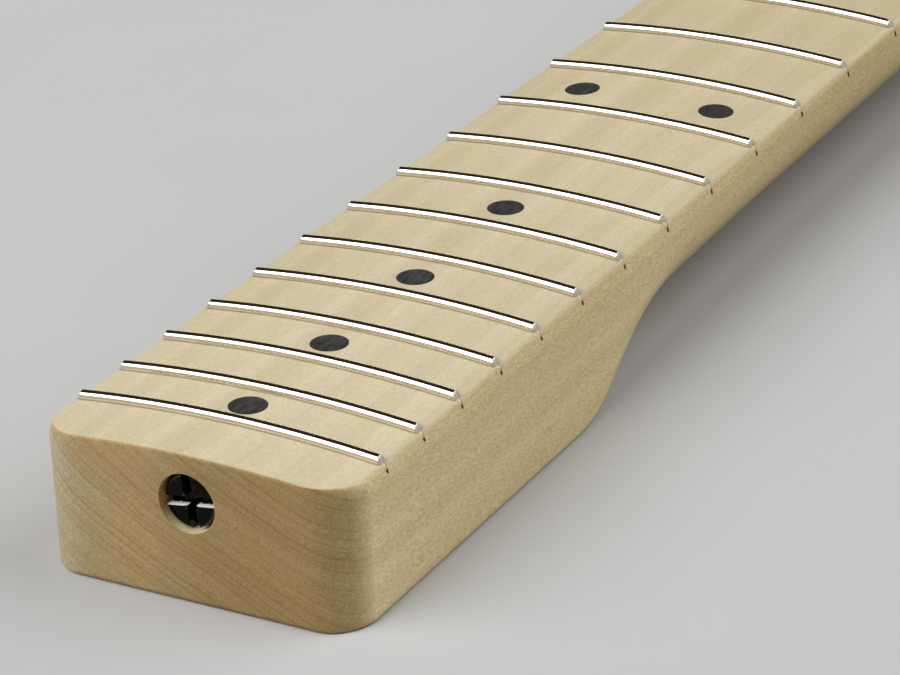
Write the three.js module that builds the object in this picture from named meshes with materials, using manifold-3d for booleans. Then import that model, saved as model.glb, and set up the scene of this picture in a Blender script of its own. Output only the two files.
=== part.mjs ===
// Bolt-on electric guitar neck: a one-piece maple blank with a radiused face, frets, inlays and a truss rod.
// Millimetres. +X is the treble side, +Y runs from the heel to the headstock, +Z leaves the fingerboard.
// While the shapes are made, y is counted from the heel end and z from the flat back of the heel.

import * as THREE from 'three';
import { mergeVertices } from 'three/addons/utils/BufferGeometryUtils.js';
import Module from 'manifold-3d';

const { degToRad, lerp, smoothstep } = THREE.MathUtils;
const wasm = await Module();
wasm.setup();

// Strings and fingerboard
const scaleLength = 647.7;
const fretCount = 21;
const notesPerOctave = 12;
const lastFretToHeelEnd = 12.8;
const nutWidth = 42;
const heelWidth = 56.3;
const boardRadius = 241.3;
// The long edges of the board are rolled over, further down the side than across the face.
const edgeRollAcross = 1.1;
const edgeRollDown = 2.8;

// Blank
const blankThickness = 25.4;
const heelCornerRadius = 8;
const heelBackRound = 1.2;
const cheekDepth = 4.8;
const heelFlatLength = 72.6;
const carveLength = 46.7;
const backRiseLength = 91;
const shaftDepthAtFret1 = 20.6;
const shaftDepthAtFret12 = 22.7;
const thinFret = 1;
const thickFret = 12;
// The section's back is the curve |x|^n + |z|^n = 1; its roundness is n / (n - 1), 1 being a square corner.
const squareRoundnessShare = 1.015;
const ellipseRoundnessShare = 2;
const carveEaseShare = 1.53;

// Four wood screws hold the heel in the body's pocket.
const screwPilotDiameter = 3.2;
const screwPilotDepth = 19;
const screwSpacingAcross = 38.1;
const screwSpacingAlong = 50.8;
const heelEndToFirstScrew = 12.7;

// Headstock: a plain slanted plank with a row of tuner holes along its bass edge
const headThickness = 14.3;
const headEdgeRound = 0.8;
const headShelf = 5;
const headScoop = 27;
const headTipRadius = 11;
const headRoundnessShare = 1.04;
const voluteLength = 48;
const voluteBeforeNut = 12;
const bassFlareLength = 36;
const tunerCount = 6;
const tunerHoleDiameter = 10;
const tunerPitch = 25;
const nutToFirstTuner = 43;
const tunerPostRadius = 3;
const tunerToBassEdge = 13;
const tunerToTrebleEdge = 15;
const lastTunerToTip = 19;

// Frets. Their ends are filed to a slant and stand in from the board's edge.
const crownWidth = 2;
const crownHeight = 1.25;
const crownFootInset = 1.05;
const crownTopInset = 1.25;
const tangWidth = 0.5;
const tangDepth = 0.8;
const fretSlotWidth = 0.6;
const fretSlotDepth = 3.05;
const fretSeatGap = 0.05;

// String nut
const nutThickness = 3.2;
const nutSlotDepth = 3.4;
const nutRise = 2.3;
const nutTopEase = 0.6;
const nutFitGap = 0.05;
const stringSpread = 35.5;
const stringLift = 0.8;
const stringGauges = [1.17, 0.91, 0.66, 0.43, 0.33, 0.25];
const stringSlotGap = 0.06;

// Inlays
const dotDiameter = 6.6;
const dotDepth = 2;
const doubleDotSpacing = 26.5;
const dotFrets = [3, 5, 7, 9, 12, 15, 17, 19, 21];
const sideDotDiameter = 2;
const sideDotDepth = 2.4;
const sideDotDrop = 3.6;
const sideDoubleSpacing = 8;
const inlayGap = 0.08;

// Truss rod, its nut at the heel and its anchor behind the string nut
const rodDiameter = 4.76;
const rodGap = 0.3;
const accessHoleDiameter = 9.9;
const accessHoleDrop = 8.2;
const trussNutDiameter = 9;
const trussNutLength = 12.7;
const trussNutRecess = 1;
const trussNutSolidLength = 4.4;
const trussNutSlotWidth = 1.6;
const trussNutSlotDepth = 2;
const trussNutDimpleDiameter = 3.2;
const trussNutDimpleDepth = 1.1;
const trussNutChamfer = 0.4;
const trussNutTurn = degToRad(8);
const threadGap = 0.12;
const washerDiameter = 9.4;
const washerThickness = 1.5;
const faceGap = 0.1;
const anchorDiameter = 8;
const anchorLength = 8;
const anchorBehindNut = 3;
const anchorHeightShare = 0.42;
const anchorFitGap = 0.15;

// Stripe that closes the truss rod channel in the back
const stripeWidth = 6.35;
const stripeFitGap = 0.05;
const stripeCover = 5;
const heelEndToStripe = 58;
const stripeEndBeforeNut = 16;

// How finely curves are divided
const topSteps = 8;
const rollSteps = 3;
const backQuarterSteps = 9;
const cornerSteps = 6;
const carveSteps = 11;
const riseSteps = 4;
const voluteSteps = 10;
const headSteps = 4;
const fretSteps = 8;
const crownSteps = 6;
const holeSides = 16;
const smallHoleSides = 12;
const rodSides = 10;
const rodSteps = 20;
const cutOverrun = 5;
const leastStep = 0.02;
const vanishingShare = 1e-9;

// Places along the neck
const fretY = (fret) => {
  const toBridge = scaleLength * 2 ** (-fret / notesPerOctave);
  const lastToBridge = scaleLength * 2 ** (-fretCount / notesPerOctave);
  return lastFretToHeelEnd + toBridge - lastToBridge;
};
const nutFront = fretY(0);
const nutBack = nutFront + nutThickness;
const scoopStart = nutBack + headShelf;
const scoopEnd = scoopStart + headScoop;
const voluteStart = nutFront - voluteBeforeNut;
const voluteEnd = voluteStart + voluteLength;
const screwCentreY = heelEndToFirstScrew + screwSpacingAlong / 2;
const crown = blankThickness;

// Line of the tuner posts: each post stands beside its own string, so that the string runs straight.
const stringX = (index) => lerp(-stringSpread, stringSpread, index / (tunerCount - 1)) / 2;
const firstTuner = new THREE.Vector2(stringX(0) - tunerPostRadius, nutFront + nutToFirstTuner);
const tunerStepX = stringSpread / (tunerCount - 1);
const tunerStepY = Math.sqrt(tunerPitch ** 2 - tunerStepX ** 2);
const tunerSlope = tunerStepX / tunerStepY;
const tunerPlaces = Array.from({ length: tunerCount }, (_, index) => new THREE.Vector2(
  firstTuner.x + index * tunerStepX,
  firstTuner.y + index * tunerStepY,
));
const lastTuner = tunerPlaces[tunerCount - 1];
const headTip = lastTuner.y + lastTunerToTip;

// Depth of a rounded corner of this radius at a distance from the face that it runs into
const cornerInset = (distance, radius) => {
  const short = Math.max(0, radius - distance);
  return radius - Math.sqrt(radius ** 2 - short ** 2);
};

const boardHalfWidth = (y) => lerp(heelWidth, nutWidth, y / nutFront) / 2;

const headBassEdge = (y) => {
  const onTunerLine = firstTuner.x + (y - firstTuner.y) * tunerSlope;
  return onTunerLine - tunerToBassEdge * Math.hypot(1, tunerSlope);
};

const sideEdges = (y) => {
  const half = boardHalfWidth(y) - cornerInset(y, heelCornerRadius);
  const tip = cornerInset(headTip - y, headTipRadius);
  const bassFlare = smoothstep(y, nutBack, nutBack + bassFlareLength);
  const trebleFlare = smoothstep(y, nutBack, headTip);
  return {
    bass: lerp(-half, headBassEdge(y), bassFlare) + tip,
    treble: lerp(half, lastTuner.x + tunerToTrebleEdge, trebleFlare) - tip,
  };
};

// Height of the face above a point, with the board's arc flattening out on the headstock
const faceHeight = (x, y) => {
  const scoop = smoothstep(y, scoopStart, scoopEnd);
  const curvature = (1 - scoop) / boardRadius;
  const arcDrop = x ** 2 * curvature / (1 + Math.sqrt(1 - (x * curvature) ** 2));
  return lerp(crown, headThickness, scoop) - arcDrop;
};

const shaftDepth = (y) => {
  const share = (y - fretY(thickFret)) / (fretY(thinFret) - fretY(thickFret));
  return lerp(shaftDepthAtFret12, shaftDepthAtFret1, share);
};

const backHeight = (y) => {
  const rise = smoothstep(y, heelFlatLength, heelFlatLength + backRiseLength);
  const fall = smoothstep(y, voluteStart, voluteEnd);
  return (crown - shaftDepth(y)) * rise * (1 - fall) + cornerInset(y, heelBackRound);
};

const sectionRoundness = (y) => {
  const carve = smoothstep(y, heelFlatLength, heelFlatLength + carveLength) ** carveEaseShare;
  const head = smoothstep(y, voluteStart, voluteEnd);
  const neckRoundness = lerp(squareRoundnessShare, ellipseRoundnessShare, carve);
  return lerp(neckRoundness, headRoundnessShare, head);
};

// The board's rolled edge turns into the headstock's small round one.
const rollSizes = (y) => {
  const head = smoothstep(y, nutBack, scoopEnd);
  return {
    across: lerp(edgeRollAcross, headEdgeRound, head),
    down: lerp(edgeRollDown, headEdgeRound, head),
  };
};

const power = (value, exponent) => (value < vanishingShare ? 0 : value ** exponent);

// Closed outline of the neck at one place along it, from the bass edge of the face round to it again
const sectionRing = (y) => {
  const { bass, treble } = sideEdges(y);
  const centre = (bass + treble) / 2;
  const half = (treble - bass) / 2;
  const foot = faceHeight(0, y) - cheekDepth;
  const depth = foot - backHeight(y);
  const roundness = sectionRoundness(y);
  const exponent = 2 * (roundness - 1) / roundness;
  const roll = rollSizes(y);
  const ring = [];
  for (let i = 0; i <= topSteps; i += 1) {
    const x = lerp(bass + roll.across, treble - roll.across, i / topSteps);
    ring.push(new THREE.Vector3(x, y, faceHeight(x, y)));
  }
  const rollEdge = (edge, side, i) => {
    const angle = (1 - i / rollSteps) * Math.PI / 2;
    const inner = edge - side * roll.across;
    const x = inner + side * roll.across * Math.cos(angle);
    const z = faceHeight(inner, y) - roll.down * (1 - Math.sin(angle));
    ring.push(new THREE.Vector3(x, y, z));
  };
  for (let i = 1; i <= rollSteps; i += 1) rollEdge(treble, 1, i);
  for (let i = 0; i <= 2 * backQuarterSteps; i += 1) {
    const angle = i / backQuarterSteps * Math.PI / 2;
    const across = Math.cos(angle);
    const x = centre + half * Math.sign(across) * power(Math.abs(across), exponent);
    ring.push(new THREE.Vector3(x, y, foot - depth * power(Math.sin(angle), exponent)));
  }
  for (let i = rollSteps; i >= 1; i -= 1) rollEdge(bass, -1, i);
  return ring;
};

// Closed surface through rings of the same number of points, with a fan over each end
const loft = (rings) => {
  const count = rings[0].length;
  const positions = [];
  const triangles = [];
  for (const ring of rings) {
    for (const point of ring) positions.push(point.x, point.y, point.z);
  }
  const corner = (ring, index) => ring * count + index % count;
  for (let r = 0; r < rings.length - 1; r += 1) {
    for (let i = 0; i < count; i += 1) {
      triangles.push(corner(r, i), corner(r, i + 1), corner(r + 1, i));
      triangles.push(corner(r, i + 1), corner(r + 1, i + 1), corner(r + 1, i));
    }
  }
  const cap = (r, flipped) => {
    const middle = positions.length / 3;
    const sum = rings[r].reduce((total, point) => total.add(point), new THREE.Vector3());
    positions.push(sum.x / count, sum.y / count, sum.z / count);
    for (let i = 0; i < count; i += 1) {
      const pair = flipped ? [corner(r, i + 1), corner(r, i)] : [corner(r, i), corner(r, i + 1)];
      triangles.push(middle, ...pair);
    }
  };
  cap(0, true);
  cap(rings.length - 1, false);
  const geometry = new THREE.BufferGeometry();
  geometry.setAttribute('position', new THREE.Float32BufferAttribute(positions, 3));
  geometry.setIndex(triangles);
  return geometry;
};

// Turns a closed surface the right way round if it encloses a negative volume.
const facingOut = (geometry) => {
  const corners = geometry.getAttribute('position');
  const index = geometry.getIndex();
  const [a, b, c] = [new THREE.Vector3(), new THREE.Vector3(), new THREE.Vector3()];
  let volume = 0;
  for (let i = 0; i < index.count; i += 3) {
    a.fromBufferAttribute(corners, index.getX(i));
    b.fromBufferAttribute(corners, index.getX(i + 1));
    c.fromBufferAttribute(corners, index.getX(i + 2));
    volume += a.dot(b.cross(c));
  }
  if (volume < 0) index.array.reverse();
  return geometry;
};

// A closed three.js surface as a solid that can be joined and cut
const solidOf = (geometry) => {
  const bare = geometry.clone();
  for (const name of ['normal', 'uv']) bare.deleteAttribute(name);
  const merged = facingOut(mergeVertices(bare));
  return new wasm.Manifold(new wasm.Mesh({
    numProp: 3,
    vertProperties: new Float32Array(merged.getAttribute('position').array),
    triVerts: new Uint32Array(merged.getIndex().array),
  }));
};

const geometryOf = (solid) => {
  const mesh = solid.getMesh();
  const geometry = new THREE.BufferGeometry();
  geometry.setAttribute('position', new THREE.BufferAttribute(mesh.vertProperties, 3));
  geometry.setIndex(new THREE.BufferAttribute(mesh.triVerts, 1));
  geometry.computeVertexNormals();
  return geometry;
};

// Round bar with flat ends between two heights or lengths along an axis
const barAlongZ = (radius, x, y, low, high, sides) => {
  const bar = new THREE.CylinderGeometry(radius, radius, high - low, sides);
  bar.rotateX(Math.PI / 2);
  return solidOf(bar.translate(x, y, (low + high) / 2));
};
const barAlongY = (radius, x, z, start, end, sides) => {
  const bar = new THREE.CylinderGeometry(radius, radius, end - start, sides);
  return solidOf(bar.translate(x, (start + end) / 2, z));
};
const barAlongX = (radius, y, z, start, end, sides) => {
  const bar = new THREE.CylinderGeometry(radius, radius, end - start, sides);
  bar.rotateZ(Math.PI / 2);
  return solidOf(bar.translate((start + end) / 2, y, z));
};
const block = (low, high) => {
  const size = new THREE.Vector3().subVectors(high, low);
  const centre = new THREE.Vector3().addVectors(low, high).multiplyScalar(1 / 2);
  return solidOf(new THREE.BoxGeometry(size.x, size.y, size.z).translate(centre.x, centre.y, centre.z));
};
const blockAcross = (y, width, low, high) => block(
  new THREE.Vector3(-heelWidth, y - width / 2, low),
  new THREE.Vector3(heelWidth, y + width / 2, high),
);

// The whole outside of the neck before anything is cut into it
const between = (start, end, steps) => Array.from({ length: steps + 1 }, (_, i) => lerp(start, end, i / steps));
const quarterAngles = between(0, Math.PI / 2, cornerSteps);
const roundStations = (radius) => quarterAngles.map((angle) => radius * (1 - Math.cos(angle)));
const stations = [
  ...roundStations(heelCornerRadius),
  ...roundStations(heelBackRound),
  ...between(heelFlatLength, heelFlatLength + carveLength, carveSteps),
  ...between(heelFlatLength + carveLength, heelFlatLength + backRiseLength, riseSteps),
  ...between(voluteStart, nutBack + bassFlareLength, voluteSteps),
  ...between(nutBack + bassFlareLength, headTip - headTipRadius, headSteps),
  ...roundStations(headTipRadius).map((inset) => headTip - inset),
].sort((a, b) => a - b).filter((y, i, all) => i === 0 || y - all[i - 1] > leastStep);
const wholeNeck = solidOf(loft(stations.map(sectionRing)));

// Truss rod: straight through the heel and the anchor, and bowed towards the back between them
const rodAxisAtHeel = crown - accessHoleDrop;
const rodAxisAtAnchor = lerp(headThickness, crown, anchorHeightShare);
const rodRadius = rodDiameter / 2;
const anchorStart = nutBack + anchorBehindNut;
const anchorEnd = anchorStart + anchorLength;
const stripeStart = heelEndToStripe;
const stripeEnd = nutFront - stripeEndBeforeNut;
const bowMiddle = (stripeStart + anchorStart) / 2;
const rodAxisAtMiddle = backHeight(bowMiddle) + stripeCover + rodGap + rodRadius;
const rodBow = (rodAxisAtHeel + rodAxisAtAnchor) / 2 - rodAxisAtMiddle;
const rodHeight = (y) => {
  const share = Math.min(1, Math.max(0, (y - stripeStart) / (anchorStart - stripeStart)));
  const straight = lerp(rodAxisAtHeel, rodAxisAtAnchor, smoothstep(share, 0, 1));
  return straight - rodBow * Math.sin(Math.PI * share) ** 2;
};
const seatY = trussNutRecess + trussNutLength + faceGap;
const washerEnd = seatY + washerThickness;
const accessHoleEnd = washerEnd + faceGap;
const rodStart = trussNutRecess + trussNutSolidLength + rodGap;

const roundShape = (radius, sides) => {
  const shape = new THREE.Shape();
  for (let i = 0; i < sides; i += 1) {
    const angle = i / sides * Math.PI * 2;
    const step = i === 0 ? 'moveTo' : 'lineTo';
    shape[step](radius * Math.cos(angle), radius * Math.sin(angle));
  }
  shape.closePath();
  return shape;
};

const rodPath = new THREE.CatmullRomCurve3([
  rodStart,
  ...between(stripeStart, anchorStart, rodSteps),
  anchorEnd,
].map((y) => new THREE.Vector3(0, y, rodHeight(y))), false, 'centripetal');
const trussRod = solidOf(new THREE.ExtrudeGeometry(roundShape(rodRadius, rodSides), {
  steps: rodSteps,
  extrudePath: rodPath,
}));

// Everything under the rod's line, moved up or down by an offset
const spaceUnderRod = (offset) => {
  const line = between(stripeStart, anchorStart, rodSteps);
  const shape = new THREE.Shape();
  shape.moveTo(stripeStart - cutOverrun, -cutOverrun);
  shape.lineTo(stripeStart - cutOverrun, rodHeight(stripeStart) + offset);
  for (const y of line) shape.lineTo(y, rodHeight(y) + offset);
  shape.lineTo(anchorStart, -cutOverrun);
  shape.closePath();
  const slab = new THREE.ExtrudeGeometry(shape, { depth: 2 * stripeWidth, bevelEnabled: false });
  slab.translate(0, 0, -stripeWidth);
  const axes = [new THREE.Vector3(0, 1, 0), new THREE.Vector3(0, 0, 1), new THREE.Vector3(1, 0, 0)];
  slab.applyMatrix4(new THREE.Matrix4().makeBasis(...axes));
  return solidOf(slab);
};

// Long upright slab with round ends, wider and longer than the stripe by a gap
const stripeSlab = (gap) => {
  const radius = stripeWidth / 2 + gap;
  const first = stripeStart + stripeWidth / 2;
  const last = stripeEnd - stripeWidth / 2;
  const shape = new THREE.Shape();
  shape.absarc(0, first, radius, Math.PI, 2 * Math.PI, false);
  shape.absarc(0, last, radius, 0, Math.PI, false);
  shape.closePath();
  const slab = new THREE.ExtrudeGeometry(shape, {
    depth: crown + 2 * cutOverrun,
    bevelEnabled: false,
    curveSegments: cornerSteps,
  });
  return solidOf(slab.translate(0, 0, -cutOverrun));
};

// Frets
const fretProfile = () => {
  const points = [
    [-tangWidth / 2, -tangDepth],
    [tangWidth / 2, -tangDepth],
    [tangWidth / 2, fretSeatGap],
  ];
  for (let i = 0; i <= crownSteps; i += 1) {
    const angle = i / crownSteps * Math.PI;
    points.push([crownWidth / 2 * Math.cos(angle), fretSeatGap + crownHeight * Math.sin(angle)]);
  }
  points.push([-tangWidth / 2, fretSeatGap]);
  return points;
};

// How far the filed end stands in from the board's edge at a height over the face; the tang's foot is flush.
const fretEndInset = (height) => {
  if (height >= 0) return lerp(crownFootInset, crownTopInset, height / (fretSeatGap + crownHeight));
  const flush = edgeRollAcross * (1 - Math.sqrt(1 - (1 - tangDepth / edgeRollDown) ** 2));
  return lerp(crownFootInset, flush, -height / tangDepth);
};

const fretWireSolid = (fret) => {
  const y = fretY(fret);
  const half = boardHalfWidth(y);
  const rings = between(-1, 1, fretSteps).map((side, i) => fretProfile().map(([along, height]) => {
    const atEnd = i === 0 || i === fretSteps;
    const x = side * (half - (atEnd ? fretEndInset(height) : crownTopInset));
    return new THREE.Vector3(x, y + along, faceHeight(x, y) + height);
  }));
  return solidOf(loft(rings));
};

// String nut
const stringNut = () => {
  const front = nutFront + nutFitGap;
  const back = nutBack - nutFitGap;
  const half = boardHalfWidth(nutBack);
  const bottom = crown - nutSlotDepth + nutFitGap;
  const rings = between(-half, half, fretSteps).map((x) => {
    const top = faceHeight(x, nutFront) + nutRise;
    return [
      [front, bottom],
      [back, bottom],
      [back, top - 2 * nutTopEase],
      [back - nutTopEase, top - nutTopEase],
      [front + nutTopEase, top],
      [front, top - nutTopEase],
    ].map(([y, z]) => new THREE.Vector3(x, y, z));
  });
  const slots = stringGauges.map((gauge, index) => {
    const x = stringX(index);
    const width = gauge + 2 * stringSlotGap;
    const low = faceHeight(x, nutFront) + stringLift;
    return block(
      new THREE.Vector3(x - width / 2, nutFront - cutOverrun, low),
      new THREE.Vector3(x + width / 2, nutBack + cutOverrun, low + cutOverrun),
    );
  });
  return slots.reduce((nut, slot) => nut.subtract(slot), solidOf(loft(rings)));
};

// Inlay places: between two frets, two abreast at the octave
const inlayPlaces = dotFrets.flatMap((fret) => {
  const y = (fretY(fret) + fretY(fret - 1)) / 2;
  const label = String(fret).padStart(2, '0');
  if (fret % notesPerOctave !== 0) return [{ label, y, side: 0 }];
  return [{ label: `${label}_bass`, y, side: -1 }, { label: `${label}_treble`, y, side: 1 }];
});
const dotBar = ({ y, side }, gap) => {
  const low = crown - dotDepth - gap;
  return barAlongZ(dotDiameter / 2 + gap, side * doubleDotSpacing / 2, y, low, crown + cutOverrun, holeSides);
};
const sideDotBar = ({ y, side }, gap) => {
  const place = y + side * sideDoubleSpacing / 2;
  const outside = -boardHalfWidth(place);
  const inner = outside + sideDotDepth + gap;
  const radius = sideDotDiameter / 2 + gap;
  return barAlongX(radius, place, crown - sideDotDrop, outside - cutOverrun, inner, smallHoleSides);
};

// Truss rod nut: a round barrel with a blind thread at the back and a cross of slots in its face
const trussNut = () => {
  const radius = trussNutDiameter / 2;
  const bore = rodRadius + threadGap;
  const profile = [
    [0, trussNutDimpleDepth],
    [trussNutDimpleDiameter / 2, 0],
    [radius - trussNutChamfer, 0],
    [radius, trussNutChamfer],
    [radius, trussNutLength - trussNutChamfer],
    [radius - trussNutChamfer, trussNutLength],
    [bore, trussNutLength],
    [bore, trussNutSolidLength],
    [0, trussNutSolidLength],
  ].map(([across, along]) => new THREE.Vector2(across, along));
  const body = solidOf(new THREE.LatheGeometry(profile, holeSides));
  const slot = (width, height) => block(
    new THREE.Vector3(-width / 2, -cutOverrun, -height / 2),
    new THREE.Vector3(width / 2, trussNutSlotDepth, height / 2),
  );
  return body
    .subtract(slot(2 * trussNutDiameter, trussNutSlotWidth))
    .subtract(slot(trussNutSlotWidth, 2 * trussNutDiameter));
};

const ringAlongY = (outer, inner, z, start, end) => {
  const hole = barAlongY(inner, 0, z, start - cutOverrun, end + cutOverrun, holeSides);
  return barAlongY(outer, 0, z, start, end, holeSides).subtract(hole);
};

// Blank: the whole neck less everything that is let into it
const anchorHoleRadius = anchorDiameter / 2 + anchorFitGap;
const rodHoleRadius = rodRadius + rodGap;
const screwSides = [-1, 1];
const cuts = [
  ...Array.from({ length: fretCount }, (_, i) => blockAcross(
    fretY(i + 1),
    fretSlotWidth,
    crown - fretSlotDepth,
    crown + cutOverrun,
  )),
  blockAcross((nutFront + nutBack) / 2, nutThickness, crown - nutSlotDepth, crown + cutOverrun),
  ...inlayPlaces.map((place) => dotBar(place, inlayGap)),
  ...inlayPlaces.map((place) => sideDotBar(place, inlayGap)),
  ...tunerPlaces.map(({ x, y }) => barAlongZ(
    tunerHoleDiameter / 2,
    x,
    y,
    -cutOverrun,
    headThickness + cutOverrun,
    holeSides,
  )),
  ...screwSides.flatMap((across) => screwSides.map((along) => barAlongZ(
    screwPilotDiameter / 2,
    across * screwSpacingAcross / 2,
    screwCentreY + along * screwSpacingAlong / 2,
    -cutOverrun,
    screwPilotDepth,
    smallHoleSides,
  ))),
  stripeSlab(stripeFitGap).intersect(spaceUnderRod(rodRadius + rodGap)),
  barAlongY(accessHoleDiameter / 2, 0, rodAxisAtHeel, -cutOverrun, accessHoleEnd, holeSides),
  barAlongY(rodHoleRadius, 0, rodAxisAtHeel, accessHoleEnd - cutOverrun, stripeStart + stripeWidth, holeSides),
  barAlongY(rodHoleRadius, 0, rodAxisAtAnchor, stripeEnd - stripeWidth, anchorStart, holeSides),
  barAlongY(anchorHoleRadius, 0, rodAxisAtAnchor, anchorStart, scoopEnd + cutOverrun, holeSides),
];
const blank = cuts.reduce((rest, cut) => rest.subtract(cut), wholeNeck);

// Materials
const finish = (color, roughness, metalness) => new THREE.MeshStandardMaterial({ color, roughness, metalness });
const maple = finish(0xd8cba8, 0.55, 0);
const walnut = finish(0x5a3d28, 0.55, 0);
const fretWire = finish(0xc9c8c0, 0.25, 1);
const dotBlack = finish(0x2b2a28, 0.45, 0);
const bone = finish(0xeae2cc, 0.4, 0);
const steel = finish(0x9a9a98, 0.35, 1);
const nickel = finish(0x8f8f8c, 0.2, 1);

// Assembly, moved so that its origin is the middle of the four screws on the back of the heel
const neck = new THREE.Group();
neck.position.y = -screwCentreY;
const add = (name, solid, material) => {
  const mesh = new THREE.Mesh(geometryOf(solid), material);
  mesh.name = name;
  neck.add(mesh);
  return mesh;
};

add('neck_blank', blank, maple);
for (let fret = 1; fret <= fretCount; fret += 1) {
  add(`fret_${String(fret).padStart(2, '0')}`, fretWireSolid(fret), fretWire);
}
add('string_nut', stringNut(), bone);
for (const place of inlayPlaces) {
  add(`face_dot_${place.label}`, wholeNeck.intersect(dotBar(place, 0)), dotBlack);
  add(`side_dot_${place.label}`, wholeNeck.intersect(sideDotBar(place, 0)), dotBlack);
}
add('truss_rod', trussRod, steel);
const turningNut = add('truss_rod_nut', trussNut(), nickel);
turningNut.position.set(0, trussNutRecess, rodAxisAtHeel);
turningNut.rotation.y = -trussNutTurn;
add(
  'truss_rod_washer',
  ringAlongY(washerDiameter / 2, rodHoleRadius, rodAxisAtHeel, seatY, washerEnd),
  steel,
);
add(
  'truss_rod_anchor',
  ringAlongY(anchorDiameter / 2, rodRadius + threadGap, rodAxisAtAnchor, anchorStart + faceGap, anchorEnd),
  steel,
);
add(
  'back_stripe',
  wholeNeck.intersect(stripeSlab(0)).intersect(spaceUnderRod(-rodRadius - rodGap)),
  walnut,
);
add(
  'anchor_plug',
  wholeNeck.intersect(
    barAlongY(anchorDiameter / 2, 0, rodAxisAtAnchor, anchorEnd + faceGap, scoopEnd + cutOverrun, holeSides),
  ),
  walnut,
);

export default neck;
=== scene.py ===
# %% [markdown]
# # A bolt-on electric guitar neck, seen from its heel
#
# The object is a one-piece maple neck: a flat heel that screws into the body, a fingerboard with a gentle
# crosswise arc, frets, dark dots, and a back that is carved from the square heel into a round grip.
# A nut in the heel's end face tightens the steel rod inside.
#
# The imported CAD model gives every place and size. This script dresses it: finer surfaces in the same places,
# real materials, a floor, soft light and a camera.

import math

import bmesh
import bpy
import numpy as np
from mathutils import Matrix, Vector


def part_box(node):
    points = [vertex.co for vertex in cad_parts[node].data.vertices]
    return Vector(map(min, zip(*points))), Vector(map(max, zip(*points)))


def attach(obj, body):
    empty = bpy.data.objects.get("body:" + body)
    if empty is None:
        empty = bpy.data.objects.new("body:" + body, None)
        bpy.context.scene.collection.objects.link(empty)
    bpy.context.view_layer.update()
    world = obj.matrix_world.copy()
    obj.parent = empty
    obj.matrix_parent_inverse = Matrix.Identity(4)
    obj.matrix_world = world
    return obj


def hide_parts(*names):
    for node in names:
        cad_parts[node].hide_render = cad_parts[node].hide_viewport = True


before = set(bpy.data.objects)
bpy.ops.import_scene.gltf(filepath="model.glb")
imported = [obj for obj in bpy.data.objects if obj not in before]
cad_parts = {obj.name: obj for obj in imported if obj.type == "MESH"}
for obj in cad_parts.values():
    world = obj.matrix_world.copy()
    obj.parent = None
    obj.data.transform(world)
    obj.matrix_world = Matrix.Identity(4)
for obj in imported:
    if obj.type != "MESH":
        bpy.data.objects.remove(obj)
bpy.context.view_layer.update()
blank_low, blank_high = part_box("neck_blank")

# %% [markdown]
# ## The sizes that drive the shape
#
# A neck maker starts from a few numbers: the scale length, the widths at both ends of the board, the radius of
# its arc and the thickness of the plank. They are written here in millimetres times mm, and everything else is
# worked out from them. Along the neck, places count from the heel's end. The model's own origin is in the middle
# of the four heel screws, so every finished mesh is moved by that much.

# %% Driving sizes
mm = 0.001
scale_length = 647.7 * mm
fret_count = 21
last_fret_to_heel_end = 12.8 * mm
heel_width = 56.3 * mm
nut_width = 42 * mm
board_radius = 241.3 * mm
board_roll_across = 1.1 * mm
board_roll_down = 2.8 * mm
head_edge_round = 0.8 * mm
end_edge_ease = 0.45 * mm
crown = blank_high.z
heel_end = blank_low.y
head_tip = blank_high.y - heel_end
print("neck length, mm:", round(head_tip / mm, 1), "thickness, mm:", round(crown / mm, 2))

# %% Sizes of the carved back and of the headstock
heel_corner_radius = 8 * mm
heel_back_round = 1.2 * mm
cheek_depth = 4.8 * mm
heel_flat_length = 72.6 * mm
carve_length = 46.7 * mm
back_rise_length = 91 * mm
shaft_depth_at_fret_1 = 20.6 * mm
shaft_depth_at_fret_12 = 22.7 * mm
heel_roundness_share = 1.015
grip_roundness_share = 2
head_roundness_share = 1.04
carve_ease_share = 1.53
head_thickness = 14.3 * mm
head_shelf = 5 * mm
head_scoop = 27 * mm
head_tip_radius = 11 * mm
volute_length = 48 * mm
volute_before_nut = 12 * mm
bass_flare_length = 36 * mm
nut_thickness = 3.2 * mm
tuner_count = 6
tuner_pitch = 25 * mm
tuner_hole_diameter = 10 * mm
nut_to_first_tuner = 43 * mm
tuner_post_radius = 3 * mm
tuner_to_bass_edge = 13 * mm
tuner_to_treble_edge = 15 * mm
string_spread = 35.5 * mm

# %% [markdown]
# ## The rules of the shape
#
# Each fret divides what is left of the string by the twelfth root of two. The board tapers in straight lines.
# Where two shapes meet, a smooth step blends them, and a rounded corner is the inset of a circle.

# %% Rules along the neck
def lerp(start, end, share):
    return start + (end - start) * share


def smooth_step(value, start, end):
    share = min(1, max(0, (value - start) / (end - start)))
    return share * share * (3 - 2 * share)


def corner_inset(distance, radius):
    short = max(0, radius - distance)
    return radius - math.sqrt(radius ** 2 - short ** 2)


def fret_place(fret):
    last_to_bridge = scale_length * 2 ** (-fret_count / 12)
    return last_fret_to_heel_end + scale_length * 2 ** (-fret / 12) - last_to_bridge


nut_front = fret_place(0)
nut_back = nut_front + nut_thickness
scoop_start = nut_back + head_shelf
scoop_end = scoop_start + head_scoop
volute_start = nut_front - volute_before_nut
volute_end = volute_start + volute_length


def half_width(place):
    return lerp(heel_width, nut_width, place / nut_front) / 2


fret_boxes = {fret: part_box(f"fret_{fret:02d}") for fret in range(1, fret_count + 1)}
worst = max(
    abs((low.y + high.y) / 2 - heel_end - fret_place(fret))
    for fret, (low, high) in fret_boxes.items()
)
print("frets differ from the CAD model by at most", round(worst / mm, 4), "mm")

# %% Rules across the neck
def string_place(index):
    return lerp(-string_spread, string_spread, index / (tuner_count - 1)) / 2


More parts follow.
